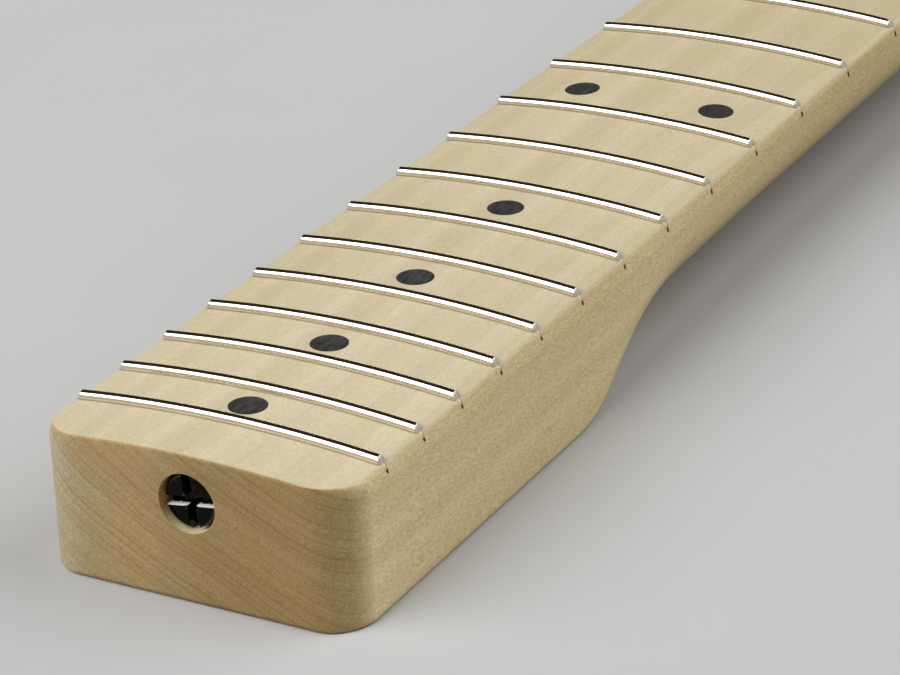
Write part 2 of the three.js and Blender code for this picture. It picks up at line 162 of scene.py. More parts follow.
tuner_step_x = string_spread / (tuner_count - 1)
tuner_step_y = math.sqrt(tuner_pitch ** 2 - tuner_step_x ** 2)
tuner_slope = tuner_step_x / tuner_step_y
first_tuner = Vector((string_place(0) - tuner_post_radius, nut_front + nut_to_first_tuner))
tuner_places = [first_tuner + index * Vector((tuner_step_x, tuner_step_y)) for index in range(tuner_count)]


def side_edges(place):
    """The bass and treble edges of the neck, heel corners, flare and head tip included."""
    half = half_width(place) - corner_inset(place, heel_corner_radius)
    tip = corner_inset(head_tip - place, head_tip_radius)
    on_tuner_line = first_tuner.x + (place - first_tuner.y) * tuner_slope
    head_bass = on_tuner_line - tuner_to_bass_edge * math.hypot(1, tuner_slope)
    head_treble = tuner_places[-1].x + tuner_to_treble_edge
    bass = lerp(-half, head_bass, smooth_step(place, nut_back, nut_back + bass_flare_length))
    treble = lerp(half, head_treble, smooth_step(place, nut_back, head_tip))
    return bass + tip, treble - tip


def face_height(across, place):
    """Height of the playing face, whose arc flattens out on the headstock."""
    scoop = smooth_step(place, scoop_start, scoop_end)
    curvature = (1 - scoop) / board_radius
    drop = across ** 2 * curvature / (1 + math.sqrt(1 - (across * curvature) ** 2))
    return lerp(crown, head_thickness, scoop) - drop


def back_height(place):
    share = (place - fret_place(12)) / (fret_place(1) - fret_place(12))
    depth = lerp(shaft_depth_at_fret_12, shaft_depth_at_fret_1, share)
    rise = smooth_step(place, heel_flat_length, heel_flat_length + back_rise_length)
    fall = smooth_step(place, volute_start, volute_end)
    return (crown - depth) * rise * (1 - fall) + corner_inset(place, heel_back_round)


def section_power(place):
    """Power n of the back's curve |u|^n + |v|^n = 1: about 68 is a square heel, 2 is a round grip."""
    carve = smooth_step(place, heel_flat_length, heel_flat_length + carve_length) ** carve_ease_share
    neck = lerp(heel_roundness_share, grip_roundness_share, carve)
    roundness = lerp(neck, head_roundness_share, smooth_step(place, volute_start, volute_end))
    return roundness / (roundness - 1)


print("board width at fret 12, mm:", round(2 * half_width(fret_place(12)) / mm, 2))

# %% [markdown]
# ## Helpers for meshes
#
# Most wooden parts are lofts: a row of outlines with equally many points, joined ring to ring. Most metal parts
# are turned, so a profile is spun round the rod's axis. Both return closed meshes whose faces point outwards.
# Holes are cut with the Boolean modifier, whose result is kept as a plain mesh.

# %% Mesh helpers
def mesh_object(name, vertices, faces):
    """A new object whose place is in its mesh. Places along the neck are moved to the model's origin."""
    mesh = bpy.data.meshes.new(name)
    mesh.from_pydata([(x, y + heel_end, z) for x, y, z in vertices], [], faces)
    mesh.update()
    return in_scene(name, mesh)


def in_scene(name, data):
    made = bpy.data.objects.new(name, data)
    bpy.context.scene.collection.objects.link(made)
    return made


def loft_faces(ring_count, points, ends="closed"):
    """Faces between rings. The two end rings are closed, left open or joined to each other."""
    faces = []
    for ring in range(ring_count if ends == "joined" else ring_count - 1):
        low = ring * points
        high = (ring + 1) % ring_count * points
        for index in range(points):
            after = (index + 1) % points
            faces.append((low + index, low + after, high + after, high + index))
    if ends == "closed":
        faces.append(tuple(reversed(range(points))))
        faces.append(tuple(range((ring_count - 1) * points, ring_count * points)))
    return faces


def loft(name, rings):
    vertices = [point for ring in rings for point in ring]
    return facing_out(mesh_object(name, vertices, loft_faces(len(rings), len(rings[0]))))


def facing_out(made):
    """Turns a closed mesh the right way round if its faces enclose a negative volume."""
    mesh = made.data
    mesh.calc_loop_triangles()
    corners = np.array([vertex.co for vertex in mesh.vertices])
    triangles = np.array([triangle.vertices for triangle in mesh.loop_triangles])
    a, b, c = (corners[triangles[:, column]] for column in range(3))
    if np.einsum("ij,ij->i", a, np.cross(b, c)).sum() < 0:
        mesh.flip_normals()
    return made


def turned(name, profile, height, sides=64):
    """Spins a closed profile of (radius, place) round a line along the neck at this height."""
    vertices = []
    for step in range(sides):
        angle = step / sides * 2 * math.pi
        vertices += [
            (radius * math.cos(angle), place, height + radius * math.sin(angle)) for radius, place in profile
        ]
    made = mesh_object(name, vertices, loft_faces(sides, len(profile), "joined"))
    merge_doubles(made)
    return facing_out(made)


def merge_doubles(made, distance=0.001 * mm):
    work = bmesh.new()
    work.from_mesh(made.data)
    bmesh.ops.remove_doubles(work, verts=work.verts, dist=distance)
    bmesh.ops.dissolve_degenerate(work, edges=work.edges, dist=distance)
    work.to_mesh(made.data)
    work.free()


def upright_bar(name, outline, low, high):
    """A prism along z over an outline of (across, place)."""
    return loft(name, [[(x, y, z) for x, y in outline] for z in (low, high)])


def circle(centre, radius, sides):
    angles = [step / sides * 2 * math.pi for step in range(sides)]
    return [(centre[0] + radius * math.cos(a), centre[1] + radius * math.sin(a)) for a in angles]


# %% Helpers for finishing a mesh
def keep_modifiers(made):
    """Turns what the modifiers make into the object's plain mesh."""
    depsgraph = bpy.context.evaluated_depsgraph_get()
    mesh = bpy.data.meshes.new_from_object(made.evaluated_get(depsgraph), depsgraph=depsgraph)
    made.modifiers.clear()
    made.data = mesh
    return made


def cut(made, cutters, operation="DIFFERENCE"):
    """Cuts with one cutter after the other and throws the cutters away."""
    for cutter in cutters:
        modifier = made.modifiers.new("cut", "BOOLEAN")
        modifier.solver = "MANIFOLD"
        modifier.operation = operation
        modifier.object = cutter
    keep_modifiers(made)
    for cutter in cutters:
        bpy.data.objects.remove(cutter)
    return made


def ease_edges(made, width, sharper_than):
    """Rounds off every edge that is sharper than an angle in degrees."""
    bevel = made.modifiers.new("ease", "BEVEL")
    bevel.width = width
    bevel.segments = 2
    bevel.limit_method = "ANGLE"
    bevel.angle_limit = math.radians(sharper_than)
    return keep_modifiers(made)


def joined(name, parts):
    """Several separate closed meshes as one object, for a cutter with many blades."""
    vertices = []
    faces = []
    for part in parts:
        start = len(vertices)
        vertices += [(vertex.co.x, vertex.co.y - heel_end, vertex.co.z) for vertex in part.data.vertices]
        faces += [tuple(start + index for index in face.vertices) for face in part.data.polygons]
        bpy.data.objects.remove(part)
    return mesh_object(name, vertices, faces)


def smooth_faces(made, sharp_angle=35):
    made.data.shade_smooth()
    made.data.set_sharp_from_angle(angle=math.radians(sharp_angle))
    return made


def dress(made, material):
    made.data.materials.clear()
    made.data.materials.append(material)


def report(made):
    print(f"{made.name}: {sum(len(face.vertices) - 2 for face in made.data.polygons)} triangles")


# %% [markdown]
# ## The neck's outside
#
# The real neck is sawn from a flat plank, its sides are routed to a template, the face is sanded to its arc on a
# radius block, and the back is shaped with rasps from the square heel into the round grip. It could be modelled
# by sculpting or with subdivision surfaces, but a loft says exactly what the maker measures: one section at each
# place. The section's back is a curve between a square and an ellipse, so one number turns heel into grip.
# The long edges of the board are rolled, as on a well-played neck: the roll reaches further down than across.

# %% One section of the neck
face_steps = 40
roll_steps = 7
cheek_steps = 4
back_steps = 18


def back_quarter(power):
    """Points of |u|^n + |v|^n = 1 from (1, 0) to (0, 1), closest together at the shoulder."""
    shoulder = 0.5 ** (1 / power)
    points = []
    for step in range(1, back_steps + 1):
        v = shoulder * (1 - (1 - step / back_steps) ** 2)
        points.append(((1 - v ** power) ** (1 / power), v))
    for step in range(1, back_steps + 1):
        u = shoulder * (1 - (step / back_steps) ** 2)
        points.append((u, (1 - u ** power) ** (1 / power)))
    return points


def roll_sizes(place):
    head = smooth_step(place, nut_back, scoop_end)
    return lerp(board_roll_across, head_edge_round, head), lerp(board_roll_down, head_edge_round, head)


def edge_roll(edge, side, place):
    """Points of the rolled edge, from the face down to the upright side."""
    across, down = roll_sizes(place)
    inner = edge - side * across
    top = face_height(inner, place)
    angles = [(1 - step / roll_steps) * math.pi / 2 for step in range(1, roll_steps + 1)]
    return [(inner + side * across * math.cos(a), top - down * (1 - math.sin(a))) for a in angles]


def section(place):
    """Outline of the neck at one place, from the bass edge of the face round to it again."""
    bass, treble = side_edges(place)
    across = roll_sizes(place)[0]
    ease = corner_inset(place, end_edge_ease) + corner_inset(head_tip - place, end_edge_ease)
    centre = (bass + treble) / 2
    half = (treble - bass) / 2
    foot = face_height(0, place) - cheek_depth
    depth = foot - back_height(place)
    face = [lerp(bass + across, treble - across, step / face_steps) for step in range(face_steps + 1)]
    outline = [(x, face_height(x, place)) for x in face]
    outline += edge_roll(treble, 1, place)
    roll_end = outline[-1][1]
    outline += [(treble, lerp(roll_end, foot, step / cheek_steps)) for step in range(1, cheek_steps + 1)]
    quarter = back_quarter(section_power(place))
    outline += [(centre + half * u, foot - depth * v) for u, v in quarter]
    outline += [(centre - half * u, foot - depth * v) for u, v in reversed(quarter[:-1])]
    outline += [(bass, lerp(foot, roll_end, step / cheek_steps)) for step in range(cheek_steps)]
    outline += reversed(edge_roll(bass, -1, place))
    return [(x, place, z - ease if z > foot else z) for x, z in outline]


print("points in a section:", len(section(fret_place(12))))

# %% Loft through all sections
nearest_sections = 0.02 * mm


def evenly(start, end, step):
    count = max(1, math.ceil((end - start) / step))
    return [lerp(start, end, index / count) for index in range(count + 1)]


def round_stations(radius, steps):
    return [radius * (1 - math.cos(index / steps * math.pi / 2)) for index in range(steps + 1)]


stations = sorted([
    *round_stations(heel_corner_radius, 16),
    *round_stations(heel_back_round, 6),
    *round_stations(end_edge_ease, 4),
    *evenly(heel_corner_radius, heel_flat_length, 4 * mm),
    *evenly(heel_flat_length, heel_flat_length + back_rise_length, 1.4 * mm),
    *evenly(heel_flat_length + back_rise_length, volute_start, 5 * mm),
    *evenly(volute_start, nut_back + bass_flare_length, 1.3 * mm),
    *evenly(nut_back + bass_flare_length, head_tip - head_tip_radius, 4 * mm),
    *[head_tip - inset for inset in round_stations(head_tip_radius, 14)],
])
gaps = zip(stations, [-1, *stations])
neck_wood = loft("neck_wood", [section(place) for place, before in gaps if place - before > nearest_sections])
envelope = neck_wood.data.copy()
report(neck_wood)

# %% [markdown]
# ## What is cut into the wood
#
# The fret slots run right through the edges, so their ends show beside each tang. The nut has its own slot.
# The tuner holes and the four screw holes are drilled. The rod's channel is routed from the back and closed with
# a dark strip. The nut that tightens the rod sits in a round pocket in the heel's end, whose mouth is slightly
# broken with sandpaper. Each cutter is a closed mesh, and the neck keeps what is left.

# %% Sizes of the cuts
fret_slot_width = 0.6 * mm
fret_slot_depth = 3.05 * mm
nut_slot_depth = 3.4 * mm
overrun = 5 * mm
tuner_hole_ease = 0.3 * mm
screw_pilot_diameter = 3.2 * mm
screw_pilot_depth = 19 * mm
screw_spacing_across = 38.1 * mm
screw_spacing_along = 50.8 * mm
heel_end_to_screws = 12.7 * mm
rod_diameter = 4.76 * mm
rod_gap = 0.3 * mm
access_hole_diameter = 9.9 * mm
access_hole_drop = 8.2 * mm
mouth_ease = 0.14 * mm
stripe_width = 6.35 * mm
stripe_gap = 0.05 * mm
stripe_cover = 5 * mm
stripe_start = 58 * mm
stripe_before_nut = 16 * mm
stripe_end = nut_front - stripe_before_nut
nut_recess = 1 * mm
truss_nut_length = 12.7 * mm
washer_thickness = 1.5 * mm
face_gap = 0.1 * mm
anchor_diameter = 8 * mm
anchor_length = 8 * mm
anchor_gap = 0.15 * mm
anchor_after_nut = 3 * mm
anchor_start = nut_back + anchor_after_nut
anchor_end = anchor_start + anchor_length
anchor_height_share = 0.42
axis_at_heel = crown - access_hole_drop
axis_at_anchor = lerp(head_thickness, crown, anchor_height_share)
access_hole_end = nut_recess + truss_nut_length + face_gap + washer_thickness + face_gap


def rod_height(place):
    """The rod is straight in the heel and bows towards the back in between."""
    share = min(1, max(0, (place - stripe_start) / (anchor_start - stripe_start)))
    middle = back_height((stripe_start + anchor_start) / 2) + stripe_cover + rod_gap + rod_diameter / 2
    bow = (axis_at_heel + axis_at_anchor) / 2 - middle
    straight = lerp(axis_at_heel, axis_at_anchor, smooth_step(share, 0, 1))
    return straight - bow * math.sin(math.pi * share) ** 2


print("rod axis at heel, middle, anchor, mm:", [
    round(rod_height(place) / mm, 2) for place in (0, (stripe_start + anchor_start) / 2, anchor_start)
])

# %% Cutters
def slot_across(place, width, depth):
    sides = (-heel_width, heel_width)
    near, far = place - width / 2, place + width / 2
    outline = [(sides[0], near), (sides[1], near), (sides[1], far), (sides[0], far)]
    return upright_bar("slot", outline, crown - depth, crown + overrun)


def drilled(centre, radius, low, high, ease):
    """A drill's path along z whose mouths at both heights are a little wider."""
    steps = [(low - overrun, radius + ease), (low, radius + ease), (low + ease, radius)]
    steps += [(high - ease, radius), (high, radius + ease), (high + overrun, radius + ease)]
    return loft("hole", [[(x, y, z) for x, y in circle(centre, size, 48)] for z, size in steps])


def stripe_outline(gap):
    radius = stripe_width / 2 + gap
    first = stripe_start + stripe_width / 2
    last = stripe_end - stripe_width / 2
    angles = [step / 16 * math.pi for step in range(17)]
    outline = [(radius * math.cos(a), last + radius * math.sin(a)) for a in angles]
    return outline + [(-radius * math.cos(a), first - radius * math.sin(a)) for a in angles]


def under_rod(offset):
    """All the room under the rod's line, raised by an offset."""
    line = [(place, rod_height(place) + offset) for place in evenly(stripe_start, anchor_start, 6 * mm)]
    outline = [(stripe_start - overrun, -overrun), (stripe_start - overrun, line[0][1])]
    outline += [*line, (anchor_start, -overrun)]
    return loft("under", [[(x, y, z) for y, z in outline] for x in (-stripe_width, stripe_width)])


def round_along(radius, height, start, end):
    return turned("bar", [(0, start), (radius, start), (radius, end), (0, end)], height, 48)


# %% Cut the slots, the holes and the channel
slots = joined("slots", [
    *[slot_across(fret_place(fret), fret_slot_width, fret_slot_depth) for fret in range(1, fret_count + 1)],
    slot_across((nut_front + nut_back) / 2, nut_thickness, nut_slot_depth),
])
screws = [
    (side * screw_spacing_across / 2, heel_end_to_screws + row * screw_spacing_along)
    for side in (-1, 1)
    for row in (0, 1)
]
holes = joined("holes", [
    *[drilled(place, tuner_hole_diameter / 2, 0, head_thickness, tuner_hole_ease) for place in tuner_places],
    *[drilled(place, screw_pilot_diameter / 2, 0, screw_pilot_depth - overrun, 0) for place in screws],
])
access_profile = [(0, access_hole_end), (access_hole_diameter / 2, access_hole_end)]
for step in range(6):
    angle = step / 5 * math.pi / 2
    inset = mouth_ease * (1 - math.cos(angle))
    access_profile.append((access_hole_diameter / 2 + inset, mouth_ease - mouth_ease * math.sin(angle)))
access_profile += [(access_profile[-1][0], -overrun), (0, -overrun)]
access_hole = turned("access", access_profile, axis_at_heel, 96)
rod_hole = rod_diameter / 2 + rod_gap
channel = upright_bar("channel", stripe_outline(stripe_gap), -overrun, crown)
cut(channel, [under_rod(rod_hole)], "INTERSECT")
cut(neck_wood, [
    slots,
    holes,
    access_hole,
    channel,
    round_along(rod_hole, axis_at_heel, access_hole_end - overrun / 2, stripe_start + stripe_width),
    round_along(rod_hole, axis_at_anchor, stripe_end - stripe_width, anchor_start + overrun / 2),
    round_along(anchor_diameter / 2 + anchor_gap, axis_at_anchor, anchor_start, scoop_end + overrun),
])
smooth_faces(neck_wood)
report(neck_wood)

# %% [markdown]
# ## Where the wood shows its end grain
#
# Maple looks darker and warmer where the saw cuts across its fibres, because the open ends drink in the light.
# The fibres run along the neck. How squarely each bit of surface cuts them is the share of its normal that points
# along the neck, so that share is stored on the mesh and the material reads it. Two more shares say how far the
# surface faces up or down: the sanded playing face is paler than the sides, and surfaces that face down get
# painted shade. A last one marks the bored walls of the access hole, which get painted shade where they do not
# face up.

# %% Mark the grain on a wooden piece
def mark_grain(made):
    mesh = made.data
    normals = np.empty(len(mesh.loops) * 3, np.float32)
    mesh.corner_normals.foreach_get("vector", normals)
    normals = normals.reshape(-1, 3)
    corners = np.array([mesh.vertices[loop.vertex_index].co for loop in mesh.loops])
    from_axis = np.hypot(corners[:, 0], corners[:, 2] - axis_at_heel)
    shares = {
        "end_grain": abs(normals[:, 1]),
        "face_up": normals[:, 2].clip(0, 1),
        "face_down": (-normals[:, 2]).clip(0, 1),
        "bored": from_axis < access_hole_diameter / 2 + mouth_ease / 4,
    }
    for name, values in shares.items():
        stored = mesh.attributes.new(name, "FLOAT", "CORNER")
        stored.data.foreach_set("value", values.astype(np.float32))
    return shares


end_grain = mark_grain(neck_wood)["end_grain"]
print("end grain on", round(100 * float(np.mean(end_grain > 0.9)), 1), "percent of the corners")

# %% [markdown]
# ## Helpers for node trees
#
# A tree is built in the script. A node's result is a Value, and a sign between two values adds a Math node, so
# each formula below reads as it would on paper. Nodes holds the few other nodes that every tree needs: a vector
# taken apart or put together, a colour ramp, a mix, and a range moved onto another one.

# %% A node's result as a number
class Value:
    def __init__(self, nodes, socket):
        self.nodes = nodes
        self.socket = socket

    def __add__(self, other):
        return self.nodes.calc("ADD", self, other)

    def __sub__(self, other):
        return self.nodes.calc("SUBTRACT", self, other)

    def __rsub__(self, other):
        return self.nodes.calc("SUBTRACT", other, self)

    def __mul__(self, other):
        return self.nodes.calc("MULTIPLY", self, other)

    def __truediv__(self, other):
        return self.nodes.calc("DIVIDE", self, other)

    def root(self):
        return self.nodes.calc("SQRT", self)


# %% Nodes of one tree
class Nodes:
    def __init__(self, tree):
        self.tree = tree

    def put(self, kind, inputs=None, output=0, **settings):
        """Adds a node, sets its choices, feeds its inputs and returns one of its results."""
        node = self.tree.nodes.new(kind)
        for name, setting in settings.items():
            setattr(node, name, setting)
        for key, source in (inputs or {}).items():
            self.feed(node.inputs[key], source)
        return Value(self, node.outputs[output]) if len(node.outputs) else node

    def feed(self, socket, source):
        if isinstance(source, Value):
            self.tree.links.new(source.socket, socket)
        else:
            socket.default_value = source

    def calc(self, operation, *terms):
        return self.put("ShaderNodeMath", dict(enumerate(terms)), operation=operation)

    def split(self, vector):
        node = self.put("ShaderNodeSeparateXYZ", {0: vector}).socket.node
        return [Value(self, output) for output in node.outputs]

    def join(self, x=0, y=0, z=0):
        return self.put("ShaderNodeCombineXYZ", {"X": x, "Y": y, "Z": z})

    def level(self, source, low, high, new_low=0, new_high=1, curve="LINEAR"):
        """The range from low to high moved onto a new one, and held at its ends."""
        inputs = {"Value": source, "From Min": low, "From Max": high, "To Min": new_low, "To Max": new_high}
        return self.put("ShaderNodeMapRange", inputs, interpolation_type=curve)

    def ramp(self, factor, stops, curve="EASE"):
        """Colours between stops of (position, colour), a colour being three numbers or one grey."""
        colours = self.put("ShaderNodeValToRGB", {"Fac": factor})
        colour_ramp = colours.socket.node.color_ramp
        colour_ramp.interpolation = curve
        while len(colour_ramp.elements) < len(stops):
            colour_ramp.elements.new(0.5)
        for element, (position, colour) in zip(colour_ramp.elements, stops):
            element.position = position
            element.color = (*colour, 1) if isinstance(colour, tuple) else (colour, colour, colour, 1)
        return colours

    def mix(self, factor, first, second, blend="MIX"):
        """Two colours mixed. For colours this node has its inputs 6 and 7 and its output 2."""
        inputs = {0: factor}
        for key, colour in ((6, first), (7, second)):
            inputs[key] = (*colour, 1) if isinstance(colour, tuple) else colour
        return self.put("ShaderNodeMix", inputs, 2, data_type="RGBA", blend_type=blend)


# %% [markdown]
# ## Helpers for Geometry Nodes
#
# What repeats or follows a path is laid out by Geometry Nodes. A tree gets named inputs for its sizes and its
# finish. They are set on the modifier by their identifiers, and the result is kept as a plain mesh.

# %% Geometry Nodes helpers
def new_tree(name, sizes):
    """A tree with an input for each size. Returns its nodes and what comes in by name."""
    tree = bpy.data.node_groups.new(name, "GeometryNodeTree")
    tree.is_modifier = True
    kinds = {"Geometry": "Geometry", **{label: "Float" for label in sizes}, "Finish": "Material"}
    for label, kind in kinds.items():
        tree.interface.new_socket(label, in_out="INPUT", socket_type="NodeSocket" + kind)
    tree.interface.new_socket("Geometry", in_out="OUTPUT", socket_type="NodeSocketGeometry")
    n = Nodes(tree)
    given = n.put("NodeGroupInput").socket.node.outputs
    return n, {label: Value(n, given[label]) for label in kinds}


def end_tree(n, geometry, given):
    """Gives the geometry its finish, sends it out and returns the tree."""
    painted = n.put("GeometryNodeSetMaterial", {"Geometry": geometry, "Material": given["Finish"]})
    n.feed(n.put("NodeGroupOutput").inputs[0], painted)
    return n.tree


def run_tree(made, tree, sizes, material):
    """Runs a tree on an object with these sizes and keeps the result as its plain mesh."""
    modifier = made.modifiers.new(tree.name, "NODES")
    modifier.node_group = tree
    settings = {**{label: float(size) for label, size in sizes.items()}, "Finish": material}
    for item in tree.interface.items_tree:
        if item.in_out == "INPUT" and item.name in settings:
            modifier[item.identifier] = settings[item.name]
    return keep_modifiers(made)


def at_points(n, points, piece, turn=(0, 0, 0)):
    """A real copy of a piece at every point."""
    inputs = {"Points": points, "Instance": piece, "Rotation": turn}
    return n.put("GeometryNodeRealizeInstances", {"Geometry": n.put("GeometryNodeInstanceOnPoints", inputs)})


def noted(n, geometry, name, value):
    inputs = {"Geometry": geometry, "Name": name, "Value": value}
    return n.put("GeometryNodeStoreNamedAttribute", inputs, data_type="FLOAT")


def stored(n, name):
    return n.put("GeometryNodeInputNamedAttribute", {"Name": name}, data_type="FLOAT")


def moved(n, geometry, **where):
    return n.put("GeometryNodeSetPosition", {"Geometry": geometry, **where})


def arc_drop(across, radius):
    """How far the board's arc lies below its crown, at a distance from the middle."""
    square = across * across
    return square / (radius + (radius * radius - square).root())


# %% [markdown]
# ## Helpers for materials
#
# Every finish is built from the same few nodes: the piece's own coordinates in millimetres, noise that may be
# stretched along the grain, and colours that follow it. Small functions keep each recipe short enough to read.

# %% Material helpers
noise_low = 0.3
noise_high = 0.7


class Finish(Nodes):
    def __init__(self, name):
        self.material = bpy.data.materials.new(name)
        self.material.use_nodes = True
        super().__init__(self.material.node_tree)

    def place(self, stretch=(1, 1, 1), turn=(0, 0, 0)):
        """The piece's own coordinates, turned, then counted in millimetres times a stretch on each axis."""
        scale = tuple(share / mm for share in stretch)
        place = self.put("ShaderNodeTexCoord", output="Object")
        place = self.put("ShaderNodeMapping", {"Vector": place, "Rotation": turn})
        return self.put("ShaderNodeMapping", {"Vector": place, "Scale": scale})

    def noise(self, stretch=(1, 1, 1), scale=1, detail=2, roughness=0.5, turn=(0, 0, 0)):
        return self.noise_at({"Vector": self.place(stretch, turn)}, scale, detail, roughness)

    def noise_at(self, where, scale, detail, roughness, dimensions="3D"):
        inputs = {**where, "Scale": scale, "Detail": detail, "Roughness": roughness}
        return self.put("ShaderNodeTexNoise", inputs, noise_dimensions=dimensions)

    def sheets(self, distance, scale, detail, roughness):
        """Noise that changes along one distance only, so it draws sheets."""
        return self.noise_at({"W": distance}, scale, detail, roughness, "1D")

    def attribute(self, name):
        return self.put("ShaderNodeAttribute", output="Fac", attribute_name=name)

    def swing(self, noise, low=0, high=1):
        """A number that follows a noise between two ends."""
        return self.level(noise, noise_low, noise_high, low, high)

    def between(self, noise, first, second):
        """A colour that follows a noise between two colours."""
        return self.mix(self.swing(noise), first, second)

    def stain(self, colour, share, by):
        return self.mix(share, colour, by, "MULTIPLY")

    def surface(self, inputs, relief=None, depth=0, strength=1):
        """Feeds the shader, with a pattern as its relief, and returns the material."""
        shader = self.tree.nodes["Principled BSDF"].inputs
        if relief:
            bump = {"Height": relief, "Distance": depth, "Strength": strength}
            inputs = {**inputs, "Normal": self.put("ShaderNodeBump", bump)}
        for name, source in inputs.items():
            self.feed(shader[name], source)
        return self.material


# %% [markdown]
# ## Maple
#
# Bare maple, sanded fine and barely sealed, is pale cream on the face and tan on the end. Its growth rings are
# wide arcs: the lines on the end face bend as if the middle of the trunk had lain some 185 mm off, up to the
# treble side. Rings, rays and distances are read in the tree's own frame, so the same solid pattern draws
# slanting lines on the end face, gentle waves round the corners and faint streaks along the sides. A flat
# picture wrapped on each side could not do that. Fibres are noise stretched along the neck, with fine flecks.

# %% Growth rings and rays
trunk_across_mm = 92
trunk_above_mm = 173
trunk_distance_mm = math.hypot(trunk_across_mm, trunk_above_mm)
ring_gap_mm = 0.9
half_heel_mm = 28


def ring_lines(n, distance):
    """Thin lines along a distance, some at nearly even gaps and others anywhere, unevenly dark."""
    jitter = n.level(n.sheets(distance, 0.4, 3, 0.6), 0.25, 0.75, -7, 7)
    wave = n.level(n.calc("SINE", distance * (2 * math.pi / ring_gap_mm) + jitter), -1, 1)
    even = n.ramp(wave, [(0.0, 1.0), (0.16, 0.5), (0.5, 0.0)])
    even = even * n.level(n.sheets(distance, 0.8, 2, 0.7), 0.35, 0.65, 0.05, 0.9)
    loose = n.ramp(n.sheets(distance, 1.5, 3, 0.75), [(0.36, 1.0), (0.5, 0.0)])
    return n.calc("MAXIMUM", even, loose)


def growth(n, x, y, z):
    """Ring lines, rays and broad bands, from the distance to the middle of the trunk and the arc round it."""
    across = trunk_across_mm - x
    above = trunk_above_mm - z
    distance = (across * across + above * above).root()
    arc = n.calc("ARCTAN2", across, above) * trunk_distance_mm
    sway = n.level(n.noise((1, 0.25, 1), 0.035), 0.25, 0.75, -1.2, 1.2)
    ripple = n.level(n.noise((1, 0.08, 1), 0.4), 0.25, 0.75, -0.09, 0.09)
    bent = distance + sway + ripple
    rays = n.noise_at({"Vector": n.join(arc * 3.6, y * 0.5, distance * 0.35)}, 1, 3, 0.7)
    return ring_lines(n, bent), rays, n.sheets(bent, 0.3, 2, 0.5)


# %% Colours of maple
def maple_ground(n, x, clouds, up_share, grain_share):
    """The wood's colour before any line is drawn: pale face, tan sides, brown end, the end paler at the bass side
    with painted light and darker towards the treble corner with painted shade.
    """
    side_colour = n.between(clouds, (0.71, 0.552, 0.293), (0.757, 0.61, 0.342))
    face_colour = n.between(clouds, (0.672, 0.592, 0.402), (0.703, 0.627, 0.434))
    long_colour = n.mix(n.level(up_share, 0.4, 0.94), side_colour, face_colour)
    # Painted light and shade across the end grain: paler at the bass side, darker towards the treble corner.
    end_colour_with_painted_light = n.ramp(n.level(x, -half_heel_mm, half_heel_mm), [
        (0.0, (0.47, 0.41, 0.31)),
        (0.18, (0.435, 0.318, 0.157)),
        (0.36, (0.405, 0.294, 0.141)),
        (0.55, (0.338, 0.23, 0.097)),
        (0.75, (0.333, 0.227, 0.093)),
        (1.0, (0.33, 0.235, 0.1)),
    ], "LINEAR")
    stains = n.noise((1, 0.3, 1), 0.15, 2, 0.6)
    stained = n.ramp(stains, [(0.36, (0.93, 0.97, 1.0)), (0.62, (1.0, 0.95, 0.88))], "LINEAR")
    return n.mix(grain_share, long_colour, n.stain(end_colour_with_painted_light, 1.0, stained))


def warm_tone(n, patterns):
    """A grey that swings with each pattern by a depth. Its dark parts are warmer than its pale ones."""
    tone = 1
    for pattern, depth in patterns:
        tone = ((pattern - 0.5) * depth + 1) * tone
    powers = enumerate((0.78, 1, 1.42))
    return n.put("ShaderNodeCombineColor", {index: n.calc("POWER", tone, power) for index, power in powers})


def far_tone(n, y, up_share):
    """Towards the headstock the wood is darker and warmer, on the sides from the grip on."""
    far_face = n.mix(n.level(y, -38, 220), (1.0, 1.0, 1.0), (0.84, 0.805, 0.745))
    far_side = n.mix(n.level(y, 60, 150), (1.0, 1.0, 1.0), (0.84, 0.81, 0.73))
    return n.mix(n.level(up_share, 0.3, 0.9), far_side, far_face)


# %% Maple finish
grain_runout = (math.radians(6), 0, 0)


def maple_finish():
    n = Finish("maple")
    x, y, z = n.split(n.place())
    rings, rays, bands = growth(n, x, y, z)
    fibres = n.noise((3.4, 1.0, 3.4), 1, 3, 0.75, grain_runout)
    flecks = n.noise((3.0, 0.8, 3.0), 1, 3, 0.7, grain_runout)
    clouds = n.noise((1, 0.35, 1), 0.045, 3)
    end_share = n.attribute("end_grain")
    up_share = n.attribute("face_up")
    # Painted shade where the surface faces down.
    underside_painted_shade = n.level(n.attribute("face_down"), 0.2, 0.6)
    grain_share = n.ramp(
        end_share, [(0.08, 0.0), (0.30, 0.36), (0.56, 0.78), (0.85, 0.96), (0.99, 1.0)], "LINEAR")
    fibre_depth = n.level(up_share, 0.3, 0.95, 1.2, 0.5)
    fleck_depth = n.level(up_share, 0.3, 0.95, 0.38, 0.15)
    fleck_share = n.ramp(flecks, [(0.30, 1.0), (0.50, 0.0)]) * fleck_depth
    # Painted shade on the bored walls of the access hole, but not where they face up.
    bored_wall_painted_shade = n.attribute("bored") * (1 - up_share)
    colour = maple_ground(n, x, clouds, up_share, grain_share)
    for share, by in (
        (rings * n.level(grain_share, 0, 1, 0.12, 0.64), (0.74, 0.65, 0.54)),
        (1.0, warm_tone(n, [(fibres, fibre_depth), (rays, grain_share * 0.6), (bands, 0.3)])),
        (end_share * up_share * 1.6, (1.0, 0.86, 0.66)),
        # Painted shade in the access hole.
        (bored_wall_painted_shade, (0.72, 0.52, 0.33)),
        (1.0, far_tone(n, y, up_share)),
        # Painted shade on surfaces that face down.
        (underside_painted_shade, (0.74, 0.71, 0.64)),
        (fleck_share, (0.60, 0.52, 0.42)),
    ):
        colour = n.stain(colour, share, by)
    return n.surface({
        "Base Color": colour,
        "Roughness": n.swing(clouds, 0.54, 0.62),
        "Specular IOR Level": 0.42,
    }, fibres, 0.02 * mm, 0.5)


maple = maple_finish()
dress(neck_wood, maple)
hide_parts("neck_blank")
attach(neck_wood, "neck")
print("maple nodes:", len(maple.node_tree.nodes))

